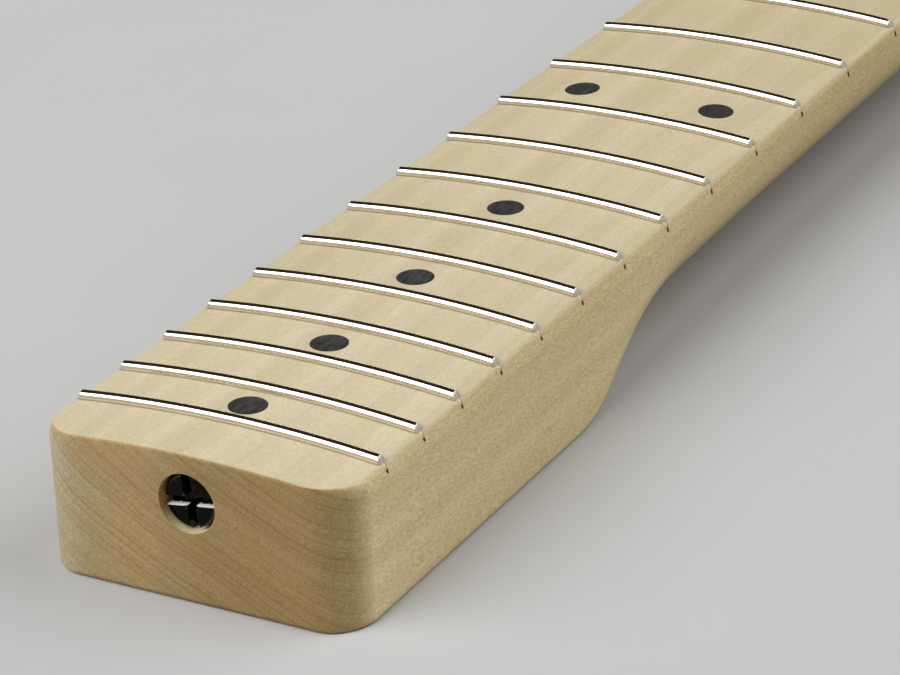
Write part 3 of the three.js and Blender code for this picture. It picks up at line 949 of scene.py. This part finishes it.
# %% [markdown]
# ## Fret wire
#
# Fret wire is drawn nickel silver with a round crown and a thin tang. Each length is pressed into its slot, and
# its ends are filed back to a slant over the rolled edge. All 21 are alike but for their length and place, which
# follow the rule of the twelfth root of two, so Geometry Nodes make them. The object starts as one wire of unit
# length. The tree puts a copy at every fret, stretches it to the board's width there and bends it over the arc.
# Its ends are stored as a distance from the board's edge, so stretching leaves the filed slant alone.

# %% Sizes of the wire
crown_width = 2 * mm
crown_height = 1.25 * mm
crown_gap = 0.05 * mm
crown_foot_ease = 0.08 * mm
crown_foot_inset = 1 * mm
crown_top_inset = 1.2 * mm
tang_width = 0.5 * mm
tang_depth = 0.8 * mm
grime_and_shade_height = 0.75 * mm
wire_margin = 1.9 * mm
wire_steps = 44
crown_steps = 12
tang_steps = 4
end_rounding = [(0.22 * mm, 0), (0.14 * mm, 0.06 * mm), (0.05 * mm, 0.15 * mm), (0, 0.28 * mm)]


def wire_half_profile():
    """Half of the wire's section as (along, height), from the top of the crown down to the tang's foot."""
    angles = [step / crown_steps * math.pi / 2 for step in range(crown_steps)]
    half = [(crown_width / 2 * math.sin(a), crown_gap + crown_height * math.cos(a)) for a in angles]
    half.append((crown_width / 2, crown_gap + crown_foot_ease))
    half.append((crown_width / 2 - crown_foot_ease, crown_gap))
    half.append((tang_width / 2 + crown_foot_ease, crown_gap))
    for step in range(tang_steps + 1):
        half.append((tang_width / 2, lerp(0, -tang_depth, step / tang_steps)))
    return half


def end_inset(height):
    """How far the filed end stands in from the board's edge. The tang's end follows the rolled edge."""
    if height >= 0:
        return lerp(crown_foot_inset, crown_top_inset, height / (crown_gap + crown_height))
    return board_roll_across * (1 - math.sqrt(1 - (1 + height / board_roll_down) ** 2))


print("points round half a wire:", len(wire_half_profile()))

# %% One length of wire
def wire_end(ring, side, back, shrink):
    """One ring of the rounded end: points, and how far out from the stretched length each of them stands."""
    points = [
        (side, along * (1 - shrink / crown_width), height - shrink * max(0, height) / crown_height)
        for along, height in ring
    ]
    return points, [side * (wire_margin - end_inset(height) - back) for _, height in ring]


def wire_object():
    half = wire_half_profile()
    ring = half + [(-along, height) for along, height in reversed(half[1:])]
    rings = [wire_end(ring, -1, *rounding) for rounding in reversed(end_rounding)]
    for step in range(wire_steps + 1):
        place = lerp(-1, 1, step / wire_steps)
        rings.append(([(place, along, height) for along, height in ring], [0] * len(ring)))
    rings += [wire_end(ring, 1, *rounding) for rounding in end_rounding]
    points = len(ring)
    vertices = [place for places, _ in rings for place in places]
    outward = [value for _, values in rings for value in values]
    faces = loft_faces(len(rings), points, "open")
    for start, order in ((0, 1), (len(vertices) - points, -1)):
        cap = [(start, start + 1, start + points - 1)]
        for index in range(1, len(half) - 1):
            low, high = start + index, start + points - index
            cap.append((low, low + 1, high - 1, high))
        faces += [face[::order] for face in cap]
    notes = {
        "outward": (outward, "POINT"),
        "low": ([min(1, max(0, 1 - height / grime_and_shade_height)) for _, _, height in vertices], "POINT"),
        "filed": ([float(min(abs(outward[index]) for index in face) > 0) for face in faces], "FACE"),
    }
    made = mesh_object("fret_wires", [(x, y - heel_end, z) for x, y, z in vertices], faces)
    for name, (values, domain) in notes.items():
        made.data.attributes.new(name, "FLOAT", domain).data.foreach_set("value", values)
    return made


# %% Tree that lays out the frets
def fret_tree(sizes):
    n, size = new_tree("fret_layout", sizes)
    number = n.put("GeometryNodeInputIndex") + 1

    def to_bridge(fret):
        return size["Scale Length"] * n.calc("POWER", 2, n.calc("DIVIDE", fret, -12))

    beyond_last = size["Last Fret To Heel End"] - to_bridge(size["Frets"])
    place = to_bridge(number) + beyond_last
    nut_place = to_bridge(0) + beyond_last
    narrowing = (size["Nut Width"] - size["Heel Width"]) * (place / nut_place)
    line = n.put("GeometryNodeMeshLine", {"Count": fret_count, "Offset": (0, 0, 0)})
    line = moved(n, line, Position=n.join(y=place + size["Origin"]))
    line = noted(n, line, "half_width", (size["Heel Width"] + narrowing) / 2)
    copies = at_points(n, line, size["Geometry"])
    x, y, z = n.split(n.put("GeometryNodeInputPosition"))
    across = x * (stored(n, "half_width") - size["Margin"]) + stored(n, "outward")
    height = z + (size["Crown"] - arc_drop(across, size["Board Radius"]))
    return end_tree(n, moved(n, copies, Position=n.join(across, y, height)), size)


# %% [markdown]
# ### Finish of the fret wire
#
# Nickel silver is a slightly warm white metal. The crowns are polished along their length, which leaves very
# fine lines, and the filed ends stay matt with coarse strokes. The face attribute "filed" tells them apart.
# Oxide and finger grease stay in the corner where the crown meets the wood, and painted shade with a painted
# reflection of the wood stands there too, so "low" browns and darkens the metal at its foot.

# %% Fret wire finish
def fret_finish():
    n = Finish("fret_wire")
    filed = n.attribute("filed")
    low = n.attribute("low")
    polish = n.noise((0.25, 9, 9), 1, 3, 0.6)
    strokes = n.noise((1.5, 12, 4), 1, 2, 0.7)
    tarnish = n.noise(scale=0.35, detail=3)
    bright = n.between(tarnish, (0.80, 0.785, 0.725), (0.86, 0.85, 0.80))
    # Grime and painted shade: the foot of the crown is browned and darkened, standing for the dark contact line
    # and a painted reflection of the wood.
    grime = n.ramp(low, [
        (0.33, (1.0, 1.0, 1.0)),
        (0.55, (0.98, 0.91, 0.76)),
        (0.68, (0.86, 0.75, 0.57)),
        (0.81, (0.75, 0.64, 0.47)),
        (1.0, (0.60, 0.50, 0.36)),
    ], "LINEAR")
    matt = n.mix(n.level(strokes, 0.35, 0.62), (0.40, 0.37, 0.31), (0.92, 0.87, 0.75))
    # The filed ends get the same grime and painted shade at their foot.
    matt = n.mix(n.level(low, 0.7, 1), matt, (0.64, 0.57, 0.40))
    smooth = n.swing(polish, 0.07, 0.13)
    rough = n.swing(strokes, 0.42, 0.6)
    return n.surface({
        "Base Color": n.mix(filed, n.stain(bright, 1.0, grime), matt),
        "Metallic": 1,
        "Roughness": n.put("ShaderNodeMix", {0: filed, 2: smooth, 3: rough}, data_type="FLOAT"),
    }, n.mix(filed, polish, strokes), 0.006 * mm, 0.12)


# %% The frets
fret_sizes = {
    "Scale Length": scale_length,
    "Frets": fret_count,
    "Last Fret To Heel End": last_fret_to_heel_end,
    "Heel Width": heel_width,
    "Nut Width": nut_width,
    "Board Radius": board_radius,
    "Margin": wire_margin,
    "Crown": crown,
    "Origin": heel_end,
}
fret_wires = run_tree(wire_object(), fret_tree(fret_sizes), fret_sizes, fret_finish())
facing_out(fret_wires)
smooth_faces(fret_wires, 28)
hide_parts(*[f"fret_{fret:02d}" for fret in range(1, fret_count + 1)])
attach(fret_wires, "neck")
report(fret_wires)

# %% [markdown]
# ## Position dots
#
# Short black rods are glued into blind holes and sanded flush: ten in the face, ten small ones in the bass side.
# They repeat, so Geometry Nodes put a rod at every place. The top of a face dot follows the board's arc and that
# of a side dot the rolled edge. The rim is very slightly rounded over, as sanding leaves it, and glue darkens it.

# %% Places of the dots
dot_diameter = 6.6 * mm
dot_depth = 2 * mm
double_dot_spacing = 26.5 * mm
side_dot_diameter = 2 * mm
side_dot_depth = 2.4 * mm
side_dot_drop = 3.6 * mm
side_double_spacing = 8 * mm
dot_proud = 0.012 * mm
dot_rim_ease = 0.03 * mm
dot_frets = [3, 5, 7, 9, 12, 15, 17, 19, 21]
dot_rows = [(fret, side) for fret in dot_frets for side in ((-1, 1) if fret == 12 else (0,))]
dot_labels = [f"{fret:02d}" + {-1: "_bass", 0: "", 1: "_treble"}[side] for fret, side in dot_rows]


def between_frets(fret):
    return (fret_place(fret) + fret_place(fret - 1)) / 2


face_places = [(side * double_dot_spacing / 2, between_frets(fret), crown) for fret, side in dot_rows]
side_rows = [between_frets(fret) + side * side_double_spacing / 2 for fret, side in dot_rows]
side_places = [(-half_width(place), place, crown - side_dot_drop) for place in side_rows]
print("dots:", len(face_places), "in the face and", len(side_places), "in the side")

# %% Tree that sets the dots
rod_sides = 56
rod_rings = 14


def roll_inset(n, height, top, across, down):
    """How far the rolled edge stands in from the upright side, at a height near the face."""
    share = n.calc("MAXIMUM", (height - top + down) / down, 0)
    return across * (1 - (1 - share * share).root())


def dot_tree(sizes):
    n, size = new_tree("dots", sizes)
    radius = size["Diameter"] / 2
    rod = n.put("GeometryNodeMeshCylinder", {
        "Vertices": rod_sides,
        "Side Segments": 2,
        "Fill Segments": rod_rings,
        "Radius": radius,
        "Depth": size["Depth"],
    }, "Mesh", fill_type="NGON")
    x, y, z = n.split(n.put("GeometryNodeInputPosition"))
    from_axis = (x * x + y * y).root()
    rim = n.level(from_axis, radius * 0.9, radius, 0, size["Rim Ease"], "SMOOTHSTEP")
    on_top = n.calc("GREATER_THAN", z, size["Depth"] * 0.49)
    top_at_zero = z - rim * on_top - size["Depth"] / 2
    rod = noted(n, rod, "rim", from_axis / radius)
    rod = moved(n, rod, Position=n.join(x, y, top_at_zero + size["Proud"]))
    rods = at_points(n, size["Geometry"], rod, n.join(y=size["Turn"]))
    inset = roll_inset(n, z, size["Roll Top"], size["Roll Across"], size["Roll Down"])
    offset = n.join(inset, 0, arc_drop(x, size["Board Radius"]) * -1)
    return end_tree(n, moved(n, rods, Offset=offset), size)


# %% Dot finish
def dot_finish():
    """Black fibre, with fine lines along the neck from the last sanding."""
    n = Finish("dot_black")
    lines = n.noise((3.2, 0.3, 3.2), 1, 3, 0.7)
    haze = n.noise(scale=0.8)
    base = n.between(haze, (0.018, 0.019, 0.020), (0.032, 0.033, 0.034))
    worn = n.mix(n.ramp(lines, [(0.46, 0.0), (0.66, 1.0)], "LINEAR"), base, (0.075, 0.075, 0.070))
    glue = n.ramp(n.attribute("rim"), [(0.88, 0.0), (0.96, 1.0)])
    return n.surface({
        "Base Color": n.mix(glue, worn, (0.010, 0.010, 0.010)),
        "Roughness": n.swing(lines, 0.42, 0.6),
        "Specular IOR Level": 0.25,
    }, lines, 0.01 * mm, 0.4)


# %% The dots
dot_black = dot_finish()
flat = 1000
shared = {"Proud": dot_proud, "Rim Ease": dot_rim_ease}
face_sizes = {
    **shared,
    "Diameter": dot_diameter,
    "Depth": dot_depth,
    "Board Radius": board_radius,
    "Turn": 0,
    "Roll Top": crown,
    "Roll Across": 0,
    "Roll Down": flat,
}
side_sizes = {
    **shared,
    "Diameter": side_dot_diameter,
    "Depth": side_dot_depth,
    "Board Radius": flat,
    "Turn": -math.pi / 2,
    "Roll Top": face_height(half_width(fret_place(12)) - board_roll_across, fret_place(12)),
    "Roll Across": board_roll_across,
    "Roll Down": board_roll_down,
}
dot_nodes = dot_tree(face_sizes)
face_dots = run_tree(mesh_object("face_dots", face_places, []), dot_nodes, face_sizes, dot_black)
side_dots = run_tree(mesh_object("side_dots", side_places, []), dot_nodes, side_sizes, dot_black)
for dots, prefix in ((face_dots, "face_dot_"), (side_dots, "side_dot_")):
    smooth_faces(dots)
    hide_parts(*[prefix + label for label in dot_labels])
    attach(dots, "neck")
    report(dots)

# %% [markdown]
# ## The string nut
#
# A strip of bone stands in its slot at the end of the board. Its top follows the board's arc and falls away
# towards the headstock, and six slots, each as wide as its string, are filed with round bottoms. It is a loft
# across the neck, and the slots are cut with round bars that lean back towards the tuners.

# %% Shape of the string nut
nut_rise = 2.3 * mm
nut_top_ease = 0.6 * mm
nut_edge_ease = 0.12 * mm
nut_fit_gap = 0.05 * mm
nut_section_gap = 1 * mm
string_lift = 0.8 * mm
string_slot_gap = 0.06 * mm
string_slot_lean = 0.12
string_gauges = [gauge * mm for gauge in (1.17, 0.91, 0.66, 0.43, 0.33, 0.25)]


def string_nut_section(across):
    front = nut_front + nut_fit_gap
    back = nut_back - nut_fit_gap
    bottom = crown - nut_slot_depth + nut_fit_gap
    top = face_height(across, nut_front) + nut_rise
    back_foot = top - 2 * nut_top_ease
    outline = [(front, bottom), (back, bottom), (back, back_foot)]
    angles = [step / 5 * math.pi / 2 for step in range(6)]
    outline += [
        (back - nut_top_ease * (1 - math.cos(a)), back_foot + nut_top_ease * math.sin(a)) for a in angles[1:]
    ]
    outline += [
        (front + nut_top_ease / 2 * (1 - math.sin(a)), top - nut_top_ease / 2 * (1 - math.cos(a)))
        for a in angles
    ]
    return [(across, place, height) for place, height in outline]


def string_slot(index):
    """A round bar with straight walls above it, leaning back towards the tuners."""
    across = string_place(index)
    radius = string_gauges[index] / 2 + string_slot_gap
    low = face_height(across, nut_front) + string_lift + radius
    angles = [math.pi + step / 12 * math.pi for step in range(13)]
    outline = [(across + radius * math.cos(a), radius * math.sin(a)) for a in angles]
    outline = [(across - radius, overrun)] + outline + [(across + radius, overrun)]
    return loft("string_slot", [
        [(x, place, low - string_slot_lean * (place - nut_front) + z) for x, z in outline]
        for place in (nut_front - overrun, nut_back + overrun)
    ])


# %% Bone finish and the string nut
def bone_finish():
    n = Finish("bone")
    streaks = n.noise((0.35, 3, 3), 1, 4, 0.6)
    specks = n.noise((1.2, 6, 6), 1, 2, 0.6)
    base = n.between(streaks, (0.74, 0.67, 0.50), (0.84, 0.79, 0.66))
    pores = n.ramp(specks, [(0.24, 1.0), (0.34, 0.0)], "LINEAR")
    return n.surface({
        "Base Color": n.mix(pores, base, (0.55, 0.46, 0.31)),
        "Roughness": n.swing(streaks, 0.3, 0.42),
        "Subsurface Weight": 0.15,
        "Subsurface Radius": (0.9 * mm, 0.6 * mm, 0.35 * mm),
    }, streaks, 0.008 * mm, 0.4)


nut_half = half_width(nut_back)
string_nut = loft("string_nut_bone", [
    string_nut_section(x) for x in evenly(-nut_half, nut_half, nut_section_gap)
])
cut(string_nut, [string_slot(index) for index in range(tuner_count)])
ease_edges(string_nut, nut_edge_ease, 40)
smooth_faces(string_nut)
# The cuts leave an empty first material slot, so bone is the second one.
string_nut.data.materials.append(bone_finish())
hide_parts("string_nut")
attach(string_nut, "neck")
report(string_nut)

# %% [markdown]
# ## The truss rod nut
#
# This is the piece that turns. It is a steel barrel, plated black, with two slots milled crosswise through its
# face for a screwdriver. On the slot walls that face up the blade wears the plating off, and these walls are
# painted pale as unplated metal with a painted highlight that fades deeper in; the crossing has a shallow drilled
# cone. The barrel is turned from a profile, the cross is cut out of it, and a narrow bevel catches the light on
# every milled edge. It rides on its own body.

# %% Shape of the truss rod nut
truss_nut_diameter = 9 * mm
truss_nut_solid_length = 4.4 * mm
truss_slot_width = 1.6 * mm
truss_slot_depth = 2 * mm
worn_and_lit_depth = 1.35 * mm
truss_dimple_diameter = 3.2 * mm
truss_dimple_depth = 1.1 * mm
truss_chamfer = 0.4 * mm
truss_edge_ease = 0.09 * mm
truss_nut_turn = math.radians(8)
thread_gap = 0.12 * mm


def truss_nut_shape():
    radius = truss_nut_diameter / 2
    bore = rod_diameter / 2 + thread_gap
    made = turned("truss_nut", [(across, nut_recess + along) for across, along in [
        (0, truss_dimple_depth),
        (truss_dimple_diameter / 2, 0),
        (radius * 0.6, 0),
        (radius - truss_chamfer, 0),
        (radius - truss_chamfer * 0.4, truss_chamfer * 0.2),
        (radius - truss_chamfer * 0.1, truss_chamfer * 0.55),
        (radius, truss_chamfer),
        (radius, truss_nut_length / 2),
        (radius, truss_nut_length - truss_chamfer),
        (radius - truss_chamfer, truss_nut_length),
        (bore, truss_nut_length),
        (bore, truss_nut_solid_length),
        (0, truss_nut_solid_length),
    ]], axis_at_heel, 96)
    reach = truss_nut_diameter
    half = truss_slot_width / 2
    cross = [(reach, half), (half, half), (half, reach), (-half, reach), (-half, half), (-reach, half)]
    cross += [(-x, -z) for x, z in cross]
    cosine = math.cos(truss_nut_turn)
    sine = math.sin(truss_nut_turn)
    cross = [(x * cosine - z * sine, x * sine + z * cosine + axis_at_heel) for x, z in cross]
    depths = (nut_recess - overrun, nut_recess + truss_slot_depth)
    cut(made, [loft("cross", [[(x, place, z) for x, z in cross] for place in depths])])
    return smooth_faces(ease_edges(made, truss_edge_ease, 50), 30)


truss_nut = truss_nut_shape()
report(truss_nut)

# %% Mark where the plating wears through and where a highlight is painted
slot_margin = 0.02 * mm
barrel_margin = 0.03 * mm
wall_facing_up = 0.8
lit_worn_wall_share = 1.0
worn_slot_share = 0.05


def mark_worn_and_lit(made):
    """A face share: 1 on the slot walls that face up, where the blade wears the plating off and a highlight is
    painted, a little in the rest of the slots.
    """
    mesh = made.data
    values = []
    for face in mesh.polygons:
        across = math.hypot(face.center.x, face.center.z - axis_at_heel)
        along = face.center.y - heel_end - nut_recess
        in_slots = slot_margin < along < truss_slot_depth + slot_margin
        inside = in_slots and across < truss_nut_diameter / 2 - barrel_margin
        share = lit_worn_wall_share if face.normal.z > wall_facing_up else worn_slot_share
        values.append(share if inside else 0.0)
    mesh.attributes.new("worn", "FLOAT", "FACE").data.foreach_set("value", values)
    return values.count(lit_worn_wall_share)


print("worn faces:", mark_worn_and_lit(truss_nut))

# %% Finish of the truss rod nut
def truss_nut_finish():
    n = Finish("blackened_steel")
    cutter_marks = n.noise((2, 14, 2), 1, 2, 0.6)
    grime = n.noise(scale=1.3, detail=3, roughness=0.6)
    ragged = n.noise(scale=2.5, detail=3, roughness=0.7)
    depth = n.split(n.place())[1] - (heel_end + nut_recess) / mm
    edge = depth + n.swing(ragged, -0.35, 0.35)
    # The painted highlight and the wear fade out deeper in the slot, along a ragged edge.
    rubbed_and_lit = n.level(edge, worn_and_lit_depth / mm + 0.15, worn_and_lit_depth / mm - 0.15)
    worn = n.attribute("worn") * rubbed_and_lit
    dirty = n.ramp(grime, [(0.62, 0.0), (0.74, 1.0)], "LINEAR")
    plated = n.mix(dirty, (0.010, 0.010, 0.010), (0.05, 0.047, 0.040))
    # Pale unplated metal, which on the walls that face up is also a painted highlight.
    bare_and_lit = n.between(cutter_marks, (0.80, 0.77, 0.70), (0.97, 0.95, 0.90))
    return n.surface({
        "Base Color": n.mix(worn, plated, bare_and_lit),
        "Metallic": n.level(worn, 0.3, 1, 1, 0),
        "Roughness": n.swing(grime, 0.10, 0.18),
    }, n.mix(worn, grime, cutter_marks), 0.006 * mm, 0.3)


dress(truss_nut, truss_nut_finish())
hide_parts("truss_rod_nut")
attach(truss_nut, "truss_rod_nut")
print("the nut turns round a line", round(axis_at_heel / mm, 2), "mm above the back")

# %% [markdown]
# ## The rod, its washer and its anchor
#
# They lie inside the wood, where only a pose or a cut shows them, but they are what makes the nut work. The rod
# follows a path, so Geometry Nodes sweep a circle along it. The washer and the anchor are turned.

# %% Steel finish
def steel_finish():
    n = Finish("steel")
    lines = n.noise((8, 0.5, 8), 1, 3, 0.6)
    oil = n.noise(scale=0.4, detail=3)
    base = n.between(lines, (0.42, 0.41, 0.39), (0.58, 0.57, 0.55))
    return n.surface({
        "Base Color": n.mix(n.ramp(oil, [(0.55, 0.0), (0.7, 1.0)], "LINEAR"), base, (0.30, 0.25, 0.2)),
        "Metallic": 1,
        "Roughness": n.swing(lines, 0.3, 0.48),
    }, lines, 0.006 * mm, 0.5)


# %% Sweep of the rod
rod_start = nut_recess + truss_nut_solid_length + rod_gap
rod_places = [rod_start, *evenly(stripe_start, anchor_start, 5 * mm), anchor_end]
sweep_sides = 32


def rod_tree(sizes):
    n, size = new_tree("rod_sweep", sizes)
    path = n.put("GeometryNodeMeshToCurve", {"Mesh": size["Geometry"]})
    around = {"Resolution": sweep_sides, "Radius": size["Diameter"] / 2}
    outline = n.put("GeometryNodeCurvePrimitiveCircle", around)
    swept = n.put("GeometryNodeCurveToMesh", {"Curve": path, "Profile Curve": outline, "Fill Caps": True})
    return end_tree(n, n.put("GeometryNodeRealizeInstances", {"Geometry": swept}), size)


def rod_path():
    line = bpy.data.meshes.new("rod_path")
    line.from_pydata(
        [(0, place + heel_end, rod_height(place)) for place in rod_places],
        [(index, index + 1) for index in range(len(rod_places) - 1)],
        [],
    )
    return in_scene("truss_rod_steel", line)


# %% The rod, the washer and the anchor
washer_diameter = 9.4 * mm
washer_ease = 0.15 * mm
anchor_ease = 0.4 * mm


def ring_profile(outer, inner, start, end, ease):
    return [
        (inner, start + ease),
        (inner + ease, start),
        (outer - ease, start),
        (outer, start + ease),
        (outer, end - ease),
        (outer - ease, end),
        (inner + ease, end),
        (inner, end - ease),
    ]


steel = steel_finish()
rod_sizes = {"Diameter": rod_diameter}
truss_rod = facing_out(run_tree(rod_path(), rod_tree(rod_sizes), rod_sizes, steel))
seat = nut_recess + truss_nut_length + face_gap
washer = ring_profile(washer_diameter / 2, rod_hole, seat, seat + washer_thickness, washer_ease)
washer = turned("truss_washer", washer, axis_at_heel)
rod_thread = rod_diameter / 2 + thread_gap
anchor = ring_profile(anchor_diameter / 2, rod_thread, anchor_start + face_gap, anchor_end, anchor_ease)
anchor = turned("truss_anchor", anchor, axis_at_anchor)
for piece, node in ((truss_rod, "truss_rod"), (washer, "truss_rod_washer"), (anchor, "truss_rod_anchor")):
    smooth_faces(piece)
    dress(piece, steel)
    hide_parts(node)
    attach(piece, "neck")
    report(piece)

# %% [markdown]
# ## The stripe and the plug
#
# A strip of dark wood closes the rod's channel in the back, and a round plug closes the anchor's hole behind the
# string nut. Both are planed flush with the neck. So each is the neck's own outside, kept only inside the strip
# or the hole: the Boolean modifier's intersection does exactly that.

# %% Walnut finish, stripe and plug
def walnut_finish():
    n = Finish("walnut")
    fibres = n.noise((5, 0.25, 5), 1, 4, 0.65)
    bands = n.noise((0.9, 0.03, 0.9))
    pores = n.noise((7, 0.6, 7), 1, 2, 0.6)
    base = n.between(bands, (0.085, 0.040, 0.019), (0.155, 0.080, 0.038))
    tone = n.mix(n.swing(fibres, 0, 0.6), base, (0.060, 0.028, 0.014))
    open_pores = n.ramp(pores, [(0.25, 1.0), (0.36, 0.0)], "LINEAR")
    return n.surface({
        "Base Color": n.mix(open_pores, tone, (0.02, 0.01, 0.006)),
        "Roughness": n.swing(fibres, 0.42, 0.58),
    }, fibres, 0.02 * mm, 0.6)


def from_envelope(name, cutters):
    return smooth_faces(cut(in_scene(name, envelope.copy()), cutters, "INTERSECT"))


walnut = walnut_finish()
back_stripe = from_envelope("walnut_stripe", [
    upright_bar("strip", stripe_outline(0), -overrun, crown),
    under_rod(-rod_hole),
])
plug = from_envelope("walnut_plug", [
    round_along(anchor_diameter / 2, axis_at_anchor, anchor_end + face_gap, scoop_end + overrun),
])
for piece, node in ((back_stripe, "back_stripe"), (plug, "anchor_plug")):
    dress(piece, walnut)
    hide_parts(node)
    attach(piece, "neck")
    report(piece)

# %% [markdown]
# ## Floor, light and camera
#
# The neck lies on a plain pale floor. Where the light came from can be read off the polished frets: each shows a
# dark streak, a white one and a cream one, so a wide soft light stood overhead at the front left and the room
# behind was dark. The treble side and the filed fret ends are bright too, while the corner between side and end
# is the darkest wood, so a second soft light stood at the right, further back. Both are drawn in the world as
# soft-edged areas of directions. The camera stands where the photograph was taken from.

# %% Floor
floor_half = 40
floor_drop = 0.05 * mm


def floor_finish():
    n = Finish("floor")
    return n.surface({
        "Base Color": n.between(n.noise(scale=0.02, detail=4), (0.553, 0.563, 0.573), (0.567, 0.577, 0.587)),
        "Roughness": 0.9,
        "Specular IOR Level": 0.15,
    })


floor = mesh_object("floor", [
    (x * floor_half, y * floor_half - heel_end, -floor_drop)
    for x, y in ((-1, -1), (1, -1), (1, 1), (-1, 1))
], [(0, 1, 2, 3)])
dress(floor, floor_finish())
print("the floor lies", round(floor_drop / mm, 2), "mm under the neck's flat back")

# %% Light
front_light = (4.75, 4.75, 4.75)
right_light = (2.2, 2.2, 2.2)
low_front_light = (0.5, 0.43, 0.31)
dark_room = (0.03, 0.021, 0.009)
light_areas = [
    (front_light, {"Z": (0.39, 0.49), "Y": (-0.22, -0.34), "X": (0.2, -0.1)}),
    (right_light, {"Z": (0.2, 0.4), "Y": (-0.15, 0.15), "X": (0.15, 0.35)}),
    (low_front_light, {"Z": (0.49, 0.39), "Y": (0.0, -0.2), "X": (0.2, -0.1)}),
]


def studio_light():
    """Each area of directions has edges on the three axes: where its light starts and where it is full."""
    world = bpy.data.worlds.new("studio")
    world.use_nodes = True
    n = Nodes(world.node_tree)
    axes = dict(zip("XYZ", n.split(n.put("ShaderNodeTexCoord", output="Generated"))))
    light = dark_room
    for colour, edges in light_areas:
        share = 1
        for axis, (start, full) in edges.items():
            share = n.level(axes[axis], start, full, curve="SMOOTHSTEP") * share
        light = n.mix(share, light, colour, "ADD")
    n.feed(n.tree.nodes["Background"].inputs["Color"], light)
    return world


bpy.context.scene.world = studio_light()
print("areas of light:", len(light_areas))

# %% Camera
sensor_width_mm = 36
lens_mm = 168.877
camera_place = Vector((319.15, -502.64, 308.34)) * mm
camera_right = Vector((0.871706, 0.488342, -0.040681))
camera_down = Vector((0.176806, -0.390858, -0.903311))
camera_forward = Vector((-0.457024, 0.780228, -0.427058))
camera = in_scene("camera", bpy.data.cameras.new("camera"))
camera.data.sensor_width = sensor_width_mm
camera.data.lens = lens_mm
turn = Matrix((camera_right, -camera_down, -camera_forward)).transposed().to_4x4()
camera.matrix_world = Matrix.Translation(camera_place) @ turn
bpy.context.scene.camera = camera
bpy.context.scene.view_settings.view_transform = "Standard"
print("camera distance to the heel's end, m:", round((camera_place - Vector((0, heel_end, 0))).length, 3))
